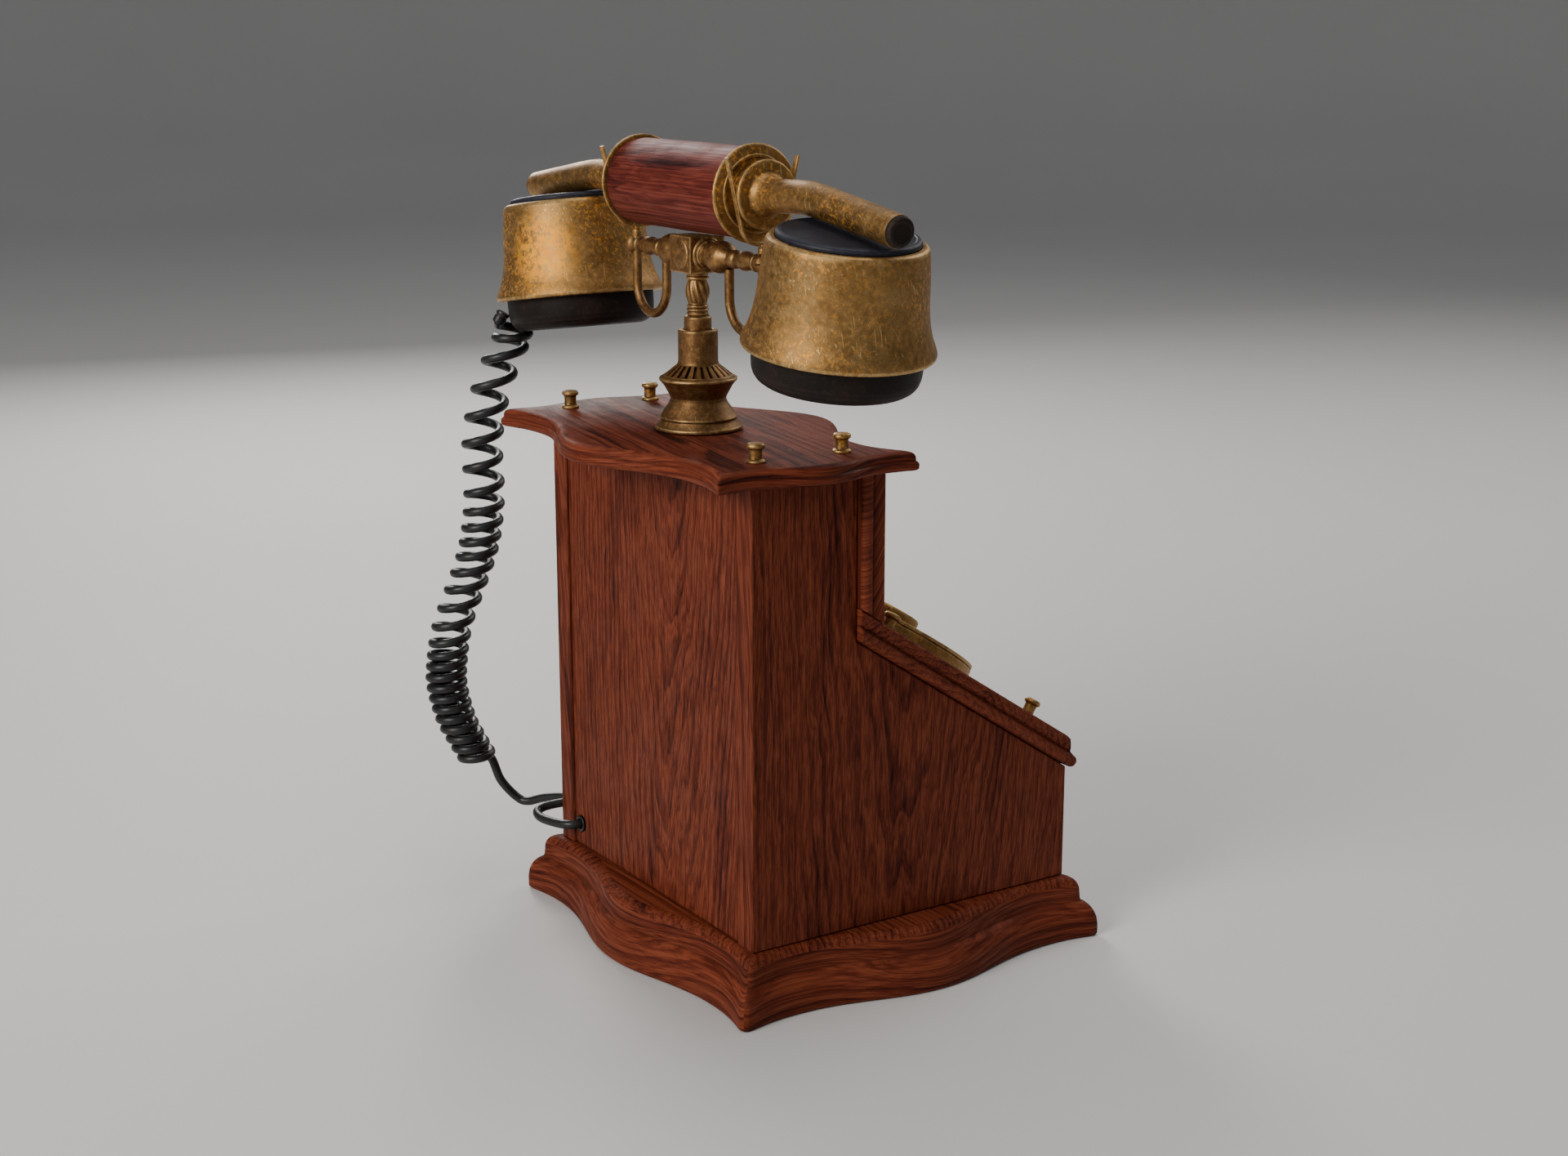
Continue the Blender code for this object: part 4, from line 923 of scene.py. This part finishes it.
def stem_shape():
    """A plain tube with rings, a belly with slanting flutes and a collar."""
    lower = lathe([
        (0, 190), (2.2, 190), (2.6, 190.6), (2.6, 250.5), (5.6, 250.5), (5.6, 266.2, 0.4), (4.9, 266.7),
        (4.2, 266.8), (4.3, 267.1), (4.5, 267.6, 0.2), (4.2, 268.1), (4.1, 268.4), (4.5, 268.9, 0.2),
        (4.5, 269.3, 0.2), (4, 269.8), (4.4, 270.3, 0.2), (4.4, 270.8, 0.2), (3.8, 271.3), (3.8, 271.8),
        (0, 271.8)], 40, radius=0.2)
    rings, wear_and_shade = [], []
    for t in [k / 22 for k in range(23)]:
        depth = sin(pi * t) ** 0.5
        middle = 0.0036 + 0.0013 * sin(pi * t) ** 0.9
        ring, level = [], []
        for angle in [2 * pi * j / 96 for j in range(96)]:
            wave = cos(FLUTES * (angle + 0.55 * t))
            radius = middle * (1 - 0.085 * (0.5 + 0.5 * wave) * depth)
            ring.append(Vector((radius * cos(angle), radius * sin(angle), 0.2714 + 0.0098 * t)))
            # the flutes' ridges are rubbed bright and their hollows get painted shade
            level.append(depth * (0.5 if wave < -0.4 else -0.6 if wave > 0.4 else 0.0))
        rings.append(ring)
        wear_and_shade.append(level)
    collar = lathe([(0, 281), (3.8, 281), (4.6, 281.5, 0.3), (4.6, 282.2, 0.3), (4.1, 282.6), (4.5, 283, 0.2),
                    (4.5, 283.8, 0.2), (4, 284.3), (0, 284.3)], 40, radius=0.2)
    return lower.add(skin(rings, wear_and_shade)).add(collar)


CRADLE = at((0, COLUMN_Y, 0))
piece("cradle_stem", stem_shape().moved(CRADLE), BRONZE, "cradle")


def soft_block(low, high, r):
    """A block whose edges are blunted by r. Two rows of points beside each edge keep its wear narrow."""
    (x0, y0, z0), (x1, y1, z1) = low, high
    rings, wear_and_shade = [], []
    for z, inset, w in ((z0, r, 0.5), (z0 + r * 0.3, r * 0.3, 1.0), (z0 + r, 0, 0.5), (z0 + 2.2 * r, 0, 0.0),
                        (z1 - 2.2 * r, 0, 0.0), (z1 - r, 0, 0.5), (z1 - r * 0.3, r * 0.3, 1.0), (z1, r, 0.5)):
        a0, b0, a1, b1 = x0 + inset, y0 + inset, x1 - inset, y1 - inset
        corners = ((a0, b0, 1, 0, 0, 1), (a1, b0, 0, 1, -1, 0), (a1, b1, -1, 0, 0, -1), (a0, b1, 0, -1, 1, 0))
        ring, level = [], []
        for cx, cy, ux, uy, vx, vy in corners:
            for u, v, wear_and_shade_level in ((0, 2.4, 0.0), (0, 1, 0.5), (0.3, 0.3, 1.0), (1, 0, 0.5), (2.4, 0, 0.0)):
                ring.append((cx + r * (ux * u + vx * v), cy + r * (uy * u + vy * v), z))
                level.append(max(w, wear_and_shade_level))
        rings.append(ring)
        wear_and_shade.append(level)
    return skin(rings, wear_and_shade)


def slotted_ball(radius, flatness, slot):
    """A flattened ball whose outer end, towards +X, has a level slot for a screwdriver."""
    lower = [(radius * sin(radians(a)), False) for a in (-86, -74, -60, -46, -33, -21, -12)]
    lower.append((-slot * 1.15, False))
    rings, wear_and_shade = [], []
    for height, deep in lower + [(-slot, True), (slot, True)] + [(-h, deep) for h, deep in reversed(lower)]:
        width = sqrt(radius ** 2 - height ** 2)
        # the slot's floor gets -1, painted shade; the rings beside it are rubbed
        wear_and_shade_level = -1.0 if deep else 0.5 if abs(height) < slot * 1.3 else 0.0
        furthest = flatness * (0.55 if deep else 1)
        rings.append([Vector((min(flatness * width / radius * c, furthest), width * s, height))
                      for c, s in circle(40)])
        wear_and_shade.append([wear_and_shade_level if c > 0 else 0.0 for c, s in circle(40)])
    return skin(rings, wear_and_shade)


def crossbar_shape():
    """A block with a boss in front and behind, and a turned arm with a slotted ball at each side."""
    whole = soft_block((-0.0080, -0.0080, 0.2842), (0.0080, 0.0080, 0.2989), 0.0004)
    boss = [(0, 0), (6.2, 0), (5.8, 0.4, 0.4), (4.6, 0.8, 0.8), (2.4, 1), (0, 1)]
    for side in (1, -1):
        whole.add(lathe(boss, 36, radius=0.3), at((0, side * 0.0079, ARM_Z), turn_to((0, side, 0))))
    arm = [
        (0, 4), (7.1, 4), (7.1, 8.6, 0.6), (6.3, 9.2), (6.1, 9), (5.9, 9.2), (5.8, 9.8, 0.3), (5.1, 10.2),
        (4.8, 11.2), (5, 12.6), (5.7, 14.6), (6.3, 16.6), (6.5, 18.5), (6.3, 20.5), (5.7, 22.4), (4.6, 24.3),
        (3.5, 25.6), (3, 26.2), (3, 26.8), (3.5, 27.2, 0.3), (3.7, 28.3), (3.7, 29.7), (3.4, 30.8, 0.3),
        (2.9, 31.4), (2.8, 32.2), (3, 33.4), (3.5, 34.8), (3.9, 36.6), (3.8, 38.6), (3.3, 40.6), (2.7, 42.4),
        (2.4, 43.8), (3, 44.2, 0.2), (3.6, 44.6, 0.3), (3.6, 45.6, 0.3), (2.8, 46.1), (2.2, 46.6),
        (2.2, 47.4), (0, 47.6)]
    for side in (1, -1):
        whole.add(lathe(arm, 40, radius=0.2), at((0, 0, ARM_Z), turn_to((side, 0, 0))))
        whole.add(slotted_ball(0.0043, 0.0030, 0.00045),
                  at((side * 0.0499, 0, ARM_Z), Quaternion((0, 0, 1), 0 if side > 0 else pi)))
    return whole


piece("cradle_crossbar", crossbar_shape().moved(CRADLE), BRONZE, "cradle", sharp=32)

LOOP_BAR_RADIUS = 0.0019
# one half of a fork's strap, from its tip down to its foot
HALF_FORK = mm([(15.8, 331.8), (14, 324.6), (12.2, 317), (10.4, 309.4), (9, 304), (6.4, 300.4), (3.4, 299)])


def fork_shape(side):
    """A bent strap that the handset lies in, on a short pin."""
    points = [(side * FORK_X, y, z) for y, z in HALF_FORK] + [(side * FORK_X, 0, 0.2987)]
    points += [(side * FORK_X, -y, z) for y, z in reversed(HALF_FORK)]
    path = smooth_path(points, 61)
    w, t, c = 0.0012, 0.00058, 0.00018      # half the strap's width and thickness, and its blunted edge
    outline = [(w, t - c), (w - c, t), (-w + c, t), (-w, t - c), (-w, -t + c), (-w + c, -t), (w - c, -t),
               (w, -t + c)]
    across = Vector((1, 0, 0))
    rings = [[point + across * a + heading(path, i).cross(across).normalized() * b for a, b in outline]
             for i, point in enumerate(path)]
    strap = skin(rings, [0.55] * len(rings))
    pin = lathe([(0, 293.5), (1.9, 293.5), (1.9, 297), (1.6, 297.4), (1.6, 297.8), (1.9, 298.2), (1.9, 298.8),
                 (0, 298.8)], 24, radius=0.2)
    return strap.add(pin, at((side * FORK_X, 0, 0)))


def loop_shape(side):
    """A round bar bent to a U that hangs from the crossbar."""
    inner, outer = 0.0244, 0.0488
    middle, radius = (inner + outer) / 2, (outer - inner) / 2
    arc = [pi * k / 24 for k in range(25)]
    path = [Vector((inner, 0, z)) for z in (0.2872, 0.2840, 0.2800)]
    path += [Vector((middle - radius * cos(a), 0, 0.2760 - radius * sin(a))) for a in arc]
    path += [Vector((outer, 0, z)) for z in (0.2800, 0.2840, 0.2888)]
    path = [Vector((side * p.x, p.y, p.z)) for p in path]
    return sweep(path, LOOP_BAR_RADIUS, 24)


for name, side in (("left", -1), ("right", 1)):
    piece(f"cradle_fork_{name}", fork_shape(side).moved(CRADLE), AGED_BRASS, "cradle")
    piece(f"cradle_loop_{name}", loop_shape(side).moved(CRADLE), BRONZE, "cradle", slot="aged_brass")

# ---------------------------------------------------------------- handset
HANDSET = at((0, COLUMN_Y, 0))
grip_profile = [(0, -42.4), (17.2, -42.4), (17.5, -41.8), (17.5, -20), (17.6, 0), (17.5, 20), (17.5, 41.8),
                (17.2, 42.4), (0, 42.4)]
piece("handset_grip", lathe(grip_profile, 96, radius=0.2).moved(HANDSET @ at((0, 0, GRIP_Z), TO_X)),
      GRIP_WOOD, "handset",
      lambda p, tag: (p.x + 12.3, p.y - COLUMN_Y + 0.030, p.z - GRIP_Z + 0.012))

# the bent tube's centreline
ARM_LINE = mm([(53.3, 317.7), (62, 317.8), (72, 318.1), (82, 318.1), (94, 316.7), (106.5, 314.8),
               (120, 312.8), (137, 310.2)])
ARM_RADIUS, ARM_TAPER = 0.00645, 0.0004


def arm_shape(side):
    """A spool beside the grip, with the fork's groove between its two discs, and a bent tube."""
    spool = soften(mm([
        (0, 42.7), (18.6, 42.7), (19, 43), (19, 43.7), (18.4, 44.2), (15.2, 44.6), (14.8, 45.1), (14, 45.1),
        (13.6, 44.7), (10.8, 44.8), (10.8, 50.3), (12.8, 50.5), (13.3, 50.9), (13.3, 52.2), (12.7, 52.7),
        (9, 52.9), (8.4, 53.3), (7.8, 54.1), (7.1, 55.2), (6.7, 56.6), (6.6, 58)]), 0.00025)
    segments = 56
    rings, wear_and_shade = [], []
    for r, x, w in spool[:-1]:
        rings.append([Vector((x, y, GRIP_Z + z)) for y, z in round_ring(segments, r)])
        wear_and_shade.append(w)
    curve = [p for p in smooth_path([(x, 0, z) for x, z in ARM_LINE], 44) if p.x > 0.0584]
    across = Vector((0, 1, 0))
    for i, point in enumerate(curve):
        other = heading(curve, i).cross(across).normalized()
        r = ARM_RADIUS - ARM_TAPER * i / (len(curve) - 1)
        rings.append([point + r * (c * across + s * other) for c, s in circle(segments)])
        wear_and_shade.append(0.7 if i == len(curve) - 1 else 0.0)
    return skin([[Vector((side * p.x, p.y, p.z)) for p in ring] for ring in rings], wear_and_shade), curve


def rim_wear(p):
    """How worn a cup is at its upper and its lower rim."""
    out = hypot(p.x, p.y)
    return 0.55 if 0.0396 < p.z < 0.0409 and out > 0.0285 else 0.75 if p.z < 0.0016 and out > 0.0350 else 0.0


# how far out each ring of sound holes lies, and its number of holes
TRANSMITTER_HOLES, RECEIVER_HOLES = ((0.0, 1), (0.0045, 6), (0.0088, 12)), ((0.0, 1), (0.0050, 6))

for name, side, use, cap_node in (("left", -1, "transmitter", "mouth_cap"),
                                  ("right", 1, "receiver", "ear_cap")):
    arm, curve = arm_shape(side)
    piece(f"handset_arm_{name}", arm.moved(HANDSET), AGED_BRASS, "handset", sharp=34)
    ahead = (curve[-1] - curve[-2]).normalized()
    start = curve[-1] + ahead * 0.0001
    end_cap = lathe([(0, -1), (5.8, -1), (5.8, 1, 0.4), (5.2, 1.8, 0.5), (4, 2), (3.6, 1.8), (0, 1.8)], 40,
                    radius=0.3)
    piece(f"arm_cap_{name}",
          end_cap.moved(HANDSET @ at((side * start.x, 0, start.z), turn_to((side * ahead.x, 0, ahead.z)))),
          BAKELITE, "handset")

    tilt = turn_to((side * sin(CUP_TILT), 0, cos(CUP_TILT)))
    cup_frame = HANDSET @ at((side * CUP_X, 0, CUP_Z), tilt)
    cup = [
        (35.2, 0), (36.1, 0.4), (36.35, 1.4), (36.1, 2.8), (35.3, 4.8), (34.3, 7), (33.5, 9.6), (32.8, 12.2),
        (32.2, 15.5), (31.7, 19.5), (31.4, 24), (31.05, 29), (30.6, 34), (30.3, 37.2), (30, 39.2),
        (29.4, 40.4), (28.4, 41), (27, 41.1), (26.8, 40.8), (26.8, 39), (29, 37), (30.2, 15), (32.5, 5),
        (32.7, 0.4)]
    shape = lathe(cup, 96, closed=True, radius=0.3)
    shape.wear_and_shade = [max(w, rim_wear(p)) for w, p in zip(shape.wear_and_shade, shape.points)]
    piece(f"{use}_cup", shape.moved(cup_frame), EAR_BRASS if side > 0 else AGED_BRASS, "handset", sharp=34)
    lid = [(0, 33), (26.4, 33), (26.4, 41.2), (26.8, 41.3), (26.8, 42.4, 0.4), (26.2, 43.2, 0.5),
           (24.8, 43.6), (24.4, 43.3), (23.6, 43.3), (15, 43.6), (0, 43.7)]
    piece(f"{use}_lid", lathe(lid, 80, radius=0.3).moved(cup_frame), LID_BAKELITE, "handset")
    cap = [
        (0, -10.8), (7, -10.8), (11.8, -11.2), (16, -12), (20.5, -13), (23.5, -13.4), (25.6, -13.4),
        (27.8, -12.8), (29.6, -11.6), (30.8, -10), (31.5, -8), (31.8, -5.5), (31.9, -2), (32, 4.2), (0, 4.2)]
    drills = Shape()
    for out, count in TRANSMITTER_HOLES if side < 0 else RECEIVER_HOLES:
        for c, s in circle(count):
            drills.add(lathe([(0, -16), (1.1, -16), (1.1, -8.5), (0, -8.5)], 14, radius=0),
                       at((out * c, out * s, 0)))
    cap_piece = piece(cap_node, lathe(cap, 80, radius=0.3), BAKELITE, "handset", cutters=[drills], sharp=34)
    cap_piece.data.transform(cup_frame)

direction = (CORD_START - CORD_ROOT).normalized()
relief = [(0, -0.4), (3, -0.4), (3, 0.8, 0.4), (2.6, 1.3), (2.6, 1.7), (2.8, 2.2, 0.4), (2.7, 4.4),
          (2.3, 5.2, 0.4), (0, 5.2)]
piece("cord_strain_relief", lathe(relief, 32, radius=0.15).moved(at(CORD_ROOT, turn_to(direction))),
      RUBBER, "handset")
grommet = [(2.2, -11), (2.9, -11), (2.9, -0.2), (3.5, -0.2), (3.6, 0.3), (3.4, 0.6), (2.4, 0.6), (2.2, 0)]
piece("cord_grommet", lathe(grommet, 36, closed=True, radius=0.2).moved(
    at((CORD_HOLE.x, REAR_Y - 0.0006, CORD_HOLE.z), TO_REAR)), RUBBER, "cabinet")

# ---------------------------------------------------------------- dial
DIAL = at(on_slope(0, DIAL_DISTANCE, 0), TO_SLOPE)
housing = [(5.5, GAP / MM), (44, GAP / MM), (44, 8.3, 0.3), (43.6, 8.6, 0.2), (42.5, 8.6), (42.4, 8.2),
           (42.4, 5), (5.5, 5)]
piece("dial_housing", lathe(housing, 120, closed=True, radius=0.3).moved(DIAL), AGED_BRASS, "cabinet")


def mesh_from(curve):
    """A curve's or a text's faces as a mesh."""
    holder = new_object("curve", curve)
    bpy.context.view_layer.update()
    mesh = evaluated_mesh(holder)
    bpy.data.objects.remove(holder)
    return mesh


def holed_disc(outer, holes, hole_radius, low, high, edge):
    """A round plate with round holes, from a filled curve with blunted edges."""
    curve = bpy.data.curves.new("disc", "CURVE")
    curve.dimensions, curve.fill_mode = "2D", "BOTH"
    curve.extrude, curve.bevel_depth, curve.bevel_resolution = (high - low) / 2 - edge, edge, 2
    curve.offset = -edge
    for (cx, cy), radius, count in [((0, 0), outer, 144)] + [(c, hole_radius, 40) for c in holes]:
        line = curve.splines.new("POLY")
        line.points.add(count - 1)
        line.use_cyclic_u = True
        for point, (c, s) in zip(line.points, circle(count)):
            point.co = (cx + radius * c, cy + radius * s, 0, 1)
    mesh = mesh_from(curve)
    bm = bmesh.new()
    bm.from_mesh(mesh)
    bmesh.ops.remove_doubles(bm, verts=bm.verts, dist=1e-6)
    bm.verts.index_update()
    shape = Shape()
    lift = (low + high) / 2
    flat = (high - low) / 2
    for v in bm.verts:
        shape.points.append(Vector((v.co.x, v.co.y, v.co.z + lift)))
        shape.wear_and_shade.append(0.7 if abs(v.co.z) < flat else 0.0)
    for f in bm.faces:
        shape.faces.append(tuple(v.index for v in f.verts))
        shape.tags.append(0)
    bm.free()
    bpy.data.meshes.remove(mesh)
    return shape


hole_angles = [FIRST_HOLE + HOLE_STEP * i for i in range(10)]
hole_centres = [(FINGER_HOLE_PITCH * cos(a), FINGER_HOLE_PITCH * sin(a)) for a in hole_angles]
wheel = holed_disc(DIAL_RADIUS - 0.0002, hole_centres, FINGER_HOLE_RADIUS, 0.0088, 0.0104, 0.0003)
raised = lathe([(0, 10.2), (24, 10.2), (24, 10.7, 0.3), (22.5, 11), (0, 11)], 96, radius=0.2)
piece("finger_wheel", wheel.add(raised).moved(DIAL), AGED_BRASS, "dial")
hub = [(0, 10.7), (14.3, 10.7), (14.4, 11.2), (14.4, 16.4, 0.4), (13.8, 17.1, 0.3), (12.8, 17.2),
       (12.4, 16.8), (11, 16.8), (10.5, 17.1), (0, 17.2)]
piece("dial_hub_cap", lathe(hub, 72, radius=0.3).moved(DIAL), AGED_BRASS, "dial")


def number_plate():
    """A cream ring with a black digit under each finger hole, counted anticlockwise from the first."""
    ring = [(5.5, 5.3), (42.1, 5.3), (42.1, 7.2), (20, 7.8), (5.5, 7.8)]
    plate = lathe(ring, 120, closed=True, radius=0.2)
    faces = len(plate.faces)
    flat_radius, flat_height, fall = 0.0200, 0.0078, (0.0078 - 0.0072) / (0.0421 - 0.0200)
    height = flat_height - fall * (FINGER_HOLE_PITCH - flat_radius) + 0.00012
    for i, (cx, cy) in enumerate(hole_centres):
        text = bpy.data.curves.new("digit", "FONT")
        text.body = "1234567890"[i]
        text.size, text.extrude, text.align_x, text.align_y = 0.0068, 0.00005, "CENTER", "CENTER"
        mesh = mesh_from(text)
        digit = Shape()
        digit.points = [v.co.copy() for v in mesh.vertices]
        digit.wear_and_shade = [0.0] * len(digit.points)
        digit.faces = [tuple(f.vertices) for f in mesh.polygons]
        digit.tags = [1] * len(digit.faces)
        bpy.data.meshes.remove(mesh)
        plate.add(digit, at((cx, cy, height)))
    return plate, faces


plate_shape, plate_faces = number_plate()
number_piece = piece("dial_number_plate", plate_shape.moved(DIAL), ENAMEL, "cabinet")
number_piece.data.materials.append(INK)
number_piece.data.polygons.foreach_set("material_index",
                                       [0] * plate_faces + [1] * (len(plate_shape.faces) - plate_faces))

stop_side = mm([(44.3, 5), (45.7, 5), (45.7, 12), (45.2, 12.6), (29.5, 12.6), (28.8, 12),
             (28.8, 11.2), (29.3, 10.9), (44.3, 10.9)])
stop = skin([[Vector((x, y, z)) for x, z in stop_side] for y in (-0.0017, 0.0017)])
for i, p in enumerate(stop.points):
    if p.x < 0.034:
        stop.points[i] = Vector((p.x, p.y * (0.45 + 0.55 * (p.x - 0.0288) / 0.0052), p.z))
piece("finger_stop", stop.moved(DIAL @ at((0, 0, 0), Quaternion((0, 0, 1), STOP_ANGLE))), AGED_BRASS,
      "cabinet", bevel=0.0003)

# ---------------------------------------------------------------- crank
CRANK = at((0, CRANK_Y, CRANK_Z))
bush = [(2.9, -11), (5, -11), (5, GAP / MM), (11.2, GAP / MM), (11.2, 1, 0.3), (10, 1.6), (8.4, 1.9),
        (8, 2.6, 0.3), (6, 2.8), (2.9, 2.8)]
piece("crank_bushing", lathe(bush, 64, closed=True, radius=0.2).moved(CRANK @ at((HALF_WIDTH, 0, 0), TO_X)),
      AGED_BRASS, "cabinet")


def crank_arm_shape():
    """A tapering bar with round ends that hangs from the shaft, its hub nut and the knob's pin."""
    arm_x, thick = 0.0858, 0.0034
    hub_end, knob_end, waist = 0.0072, 0.0052, 0.0012
    outline = []
    for x, r, way in ((0, hub_end, 1), (CRANK_ARM, knob_end, -1)):
        outline += [(x + r * cos(a), r * sin(a)) for a in [way * pi / 2 + pi * k / 16 for k in range(17)]]
        for t in [k / 12 for k in range(1, 12)][::way]:
            outline.append((CRANK_ARM * t, -way * (hub_end * (1 - t) + knob_end * t - waist * sin(pi * t))))
    centre = Vector((CRANK_ARM / 2, 0))
    rings, wear_and_shade = [], []
    edge = [(0.0, 0.0006, 0.2), (0.0002, 0.0002, 0.9), (0.0006, 0.0, 0.5)]
    for x, inset, w in edge + [(thick - x, inset, w) for x, inset, w in reversed(edge)]:
        ring = []
        for i, (p, q) in enumerate(outline):
            a, c = Vector(outline[i - 1]), Vector(outline[(i + 1) % len(outline)])
            normal = (c - a).orthogonal().normalized()
            if normal.dot(Vector((p, q)) - centre) < 0:
                normal.negate()
            ring.append(Vector((arm_x + x, q - normal.y * inset, -(p - normal.x * inset))))
        rings.append(ring)
        wear_and_shade.append(w)
    arm = skin(rings, wear_and_shade)
    hub = [(0, 85.2), (6.4, 85.2), (6.4, 89.9, 0.4), (5.6, 90.4), (0, 90.4)]
    arm.add(lathe(hub, 48, radius=0.3), at(turn=TO_X))
    arm.add(prism([(0.0048 * c, 0.0048 * s) for c, s in circle(6)], 0.0902, 0.0913), at(turn=TO_X))
    arm.add(lathe([(0, 87), (1.8, 87), (1.8, 118), (0, 118)], 24).moved(at((0, 0, -CRANK_ARM), TO_X)))
    return arm


piece("crank_arm", crank_arm_shape().moved(CRANK), BRONZE, "crank", sharp=32)
knob = [
    (0, 118.4), (2.2, 118.4), (2.2, 89.7), (6.2, 89.7), (7.1, 90.4, 0.4), (7.2, 91.6, 0.4), (6.2, 93.2),
    (5.8, 95), (6, 97.5), (6.6, 100.5), (7.4, 104.5), (8.1, 108.5), (8.5, 112.5), (8.6, 116), (8.3, 119.5),
    (7.5, 122.6), (6.2, 124.7), (4.4, 125.8), (2.2, 126.2), (0, 126.2)]
piece("crank_knob", lathe(knob, 56, radius=0.3).moved(CRANK @ at((0, 0, -CRANK_ARM), TO_X)),
      GRIP_WOOD, "crank_knob",
      lambda p, tag: (p.x + 14.1, p.y - CRANK_Y + 0.020, p.z - CRANK_Z + CRANK_ARM + 0.006))

# ---------------------------------------------------------------- mechanism inside, as packed
for finish, nodes in ((STEEL, ("dial_bracket", "governor", "clapper")),
                      (GEAR_BRASS, ("dial_gear", "crank_gear", "gong_left", "gong_right")),
                      (IRON, ("magneto_frame", "magneto_magnet", "magneto_armature", "ringer_frame")),
                      (BAKELITE, ("terminal_block", "hook_switch")), (COPPER, ("induction_coil",))):
    for node in nodes:
        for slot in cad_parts[node].material_slots:
            slot.link = "OBJECT"
            slot.material = finish

# ---------------------------------------------------------------- floor and light
def floor_shape():
    """A pale floor that turns up far away."""
    shape, n = Shape(), 96
    shape.points = [Vector((0, 0, 0))]
    for r, z in ((0.5, 0.0), (1.5, 0.0), (3.6, 0.0), (4.4, 0.12), (4.9, 0.5), (5.1, 1.2), (5.1, 2.4)):
        shape.points += [Vector((r * c, r * s, z)) for c, s in circle(n)]
    shape.wear_and_shade = [0.0] * len(shape.points)
    shape.faces = [(0, 1 + k, 1 + (k + 1) % n) for k in range(n)]
    for a in range(1, len(shape.points) - n, n):
        shape.faces += [(a + k, a + n + k, a + n + (k + 1) % n, a + (k + 1) % n) for k in range(n)]
    return shape


FLOOR = Graph("pale floor")
cloudy = FLOOR.noise(FLOOR.object_place(), 3.0, 3.0)
FLOOR.finish(Base_Color=FLOOR.mix(cloudy, (0.62, 0.61, 0.60), (0.66, 0.65, 0.64)), Roughness=0.65)
floor = new_object("floor", mesh_of("floor", floor_shape(), 80))
floor.data.materials.append(FLOOR.material)


def soft_light(name, place, target, size, power, colour=(1, 1, 1)):
    light = bpy.data.lights.new(name, "AREA")
    light.shape, light.size, light.energy, light.color = "DISK", size, power, colour
    aimed(name, light, place, Vector(target) - Vector(place))


soft_light("key_light", (-0.35, 1.60, 0.95), (0, 0, 0.16), 0.9, 25.0, (1.0, 0.97, 0.93))
soft_light("fill_light", (-1.70, 0.10, 0.75), (0, 0, 0.15), 1.1, 0.9, (0.95, 0.97, 1.0))
soft_light("front_light", (0.35, -1.60, 1.30), (0, 0, 0.15), 1.0, 9.0, (1.0, 0.98, 0.95))
soft_light("rim_light", (1.45, -0.35, 0.85), (0, 0, 0.20), 0.6, 13.0, (1.0, 0.98, 0.95))
soft_light("top_light", (0.0, 0.0, 2.0), (0, 0, 0), 1.2, 10.0)
world = bpy.data.worlds.new("studio")
world.use_nodes = True
world.node_tree.nodes["Background"].inputs["Color"].default_value = (0.80, 0.82, 0.85, 1.0)
world.node_tree.nodes["Background"].inputs["Strength"].default_value = 0.21
bpy.context.scene.world = world
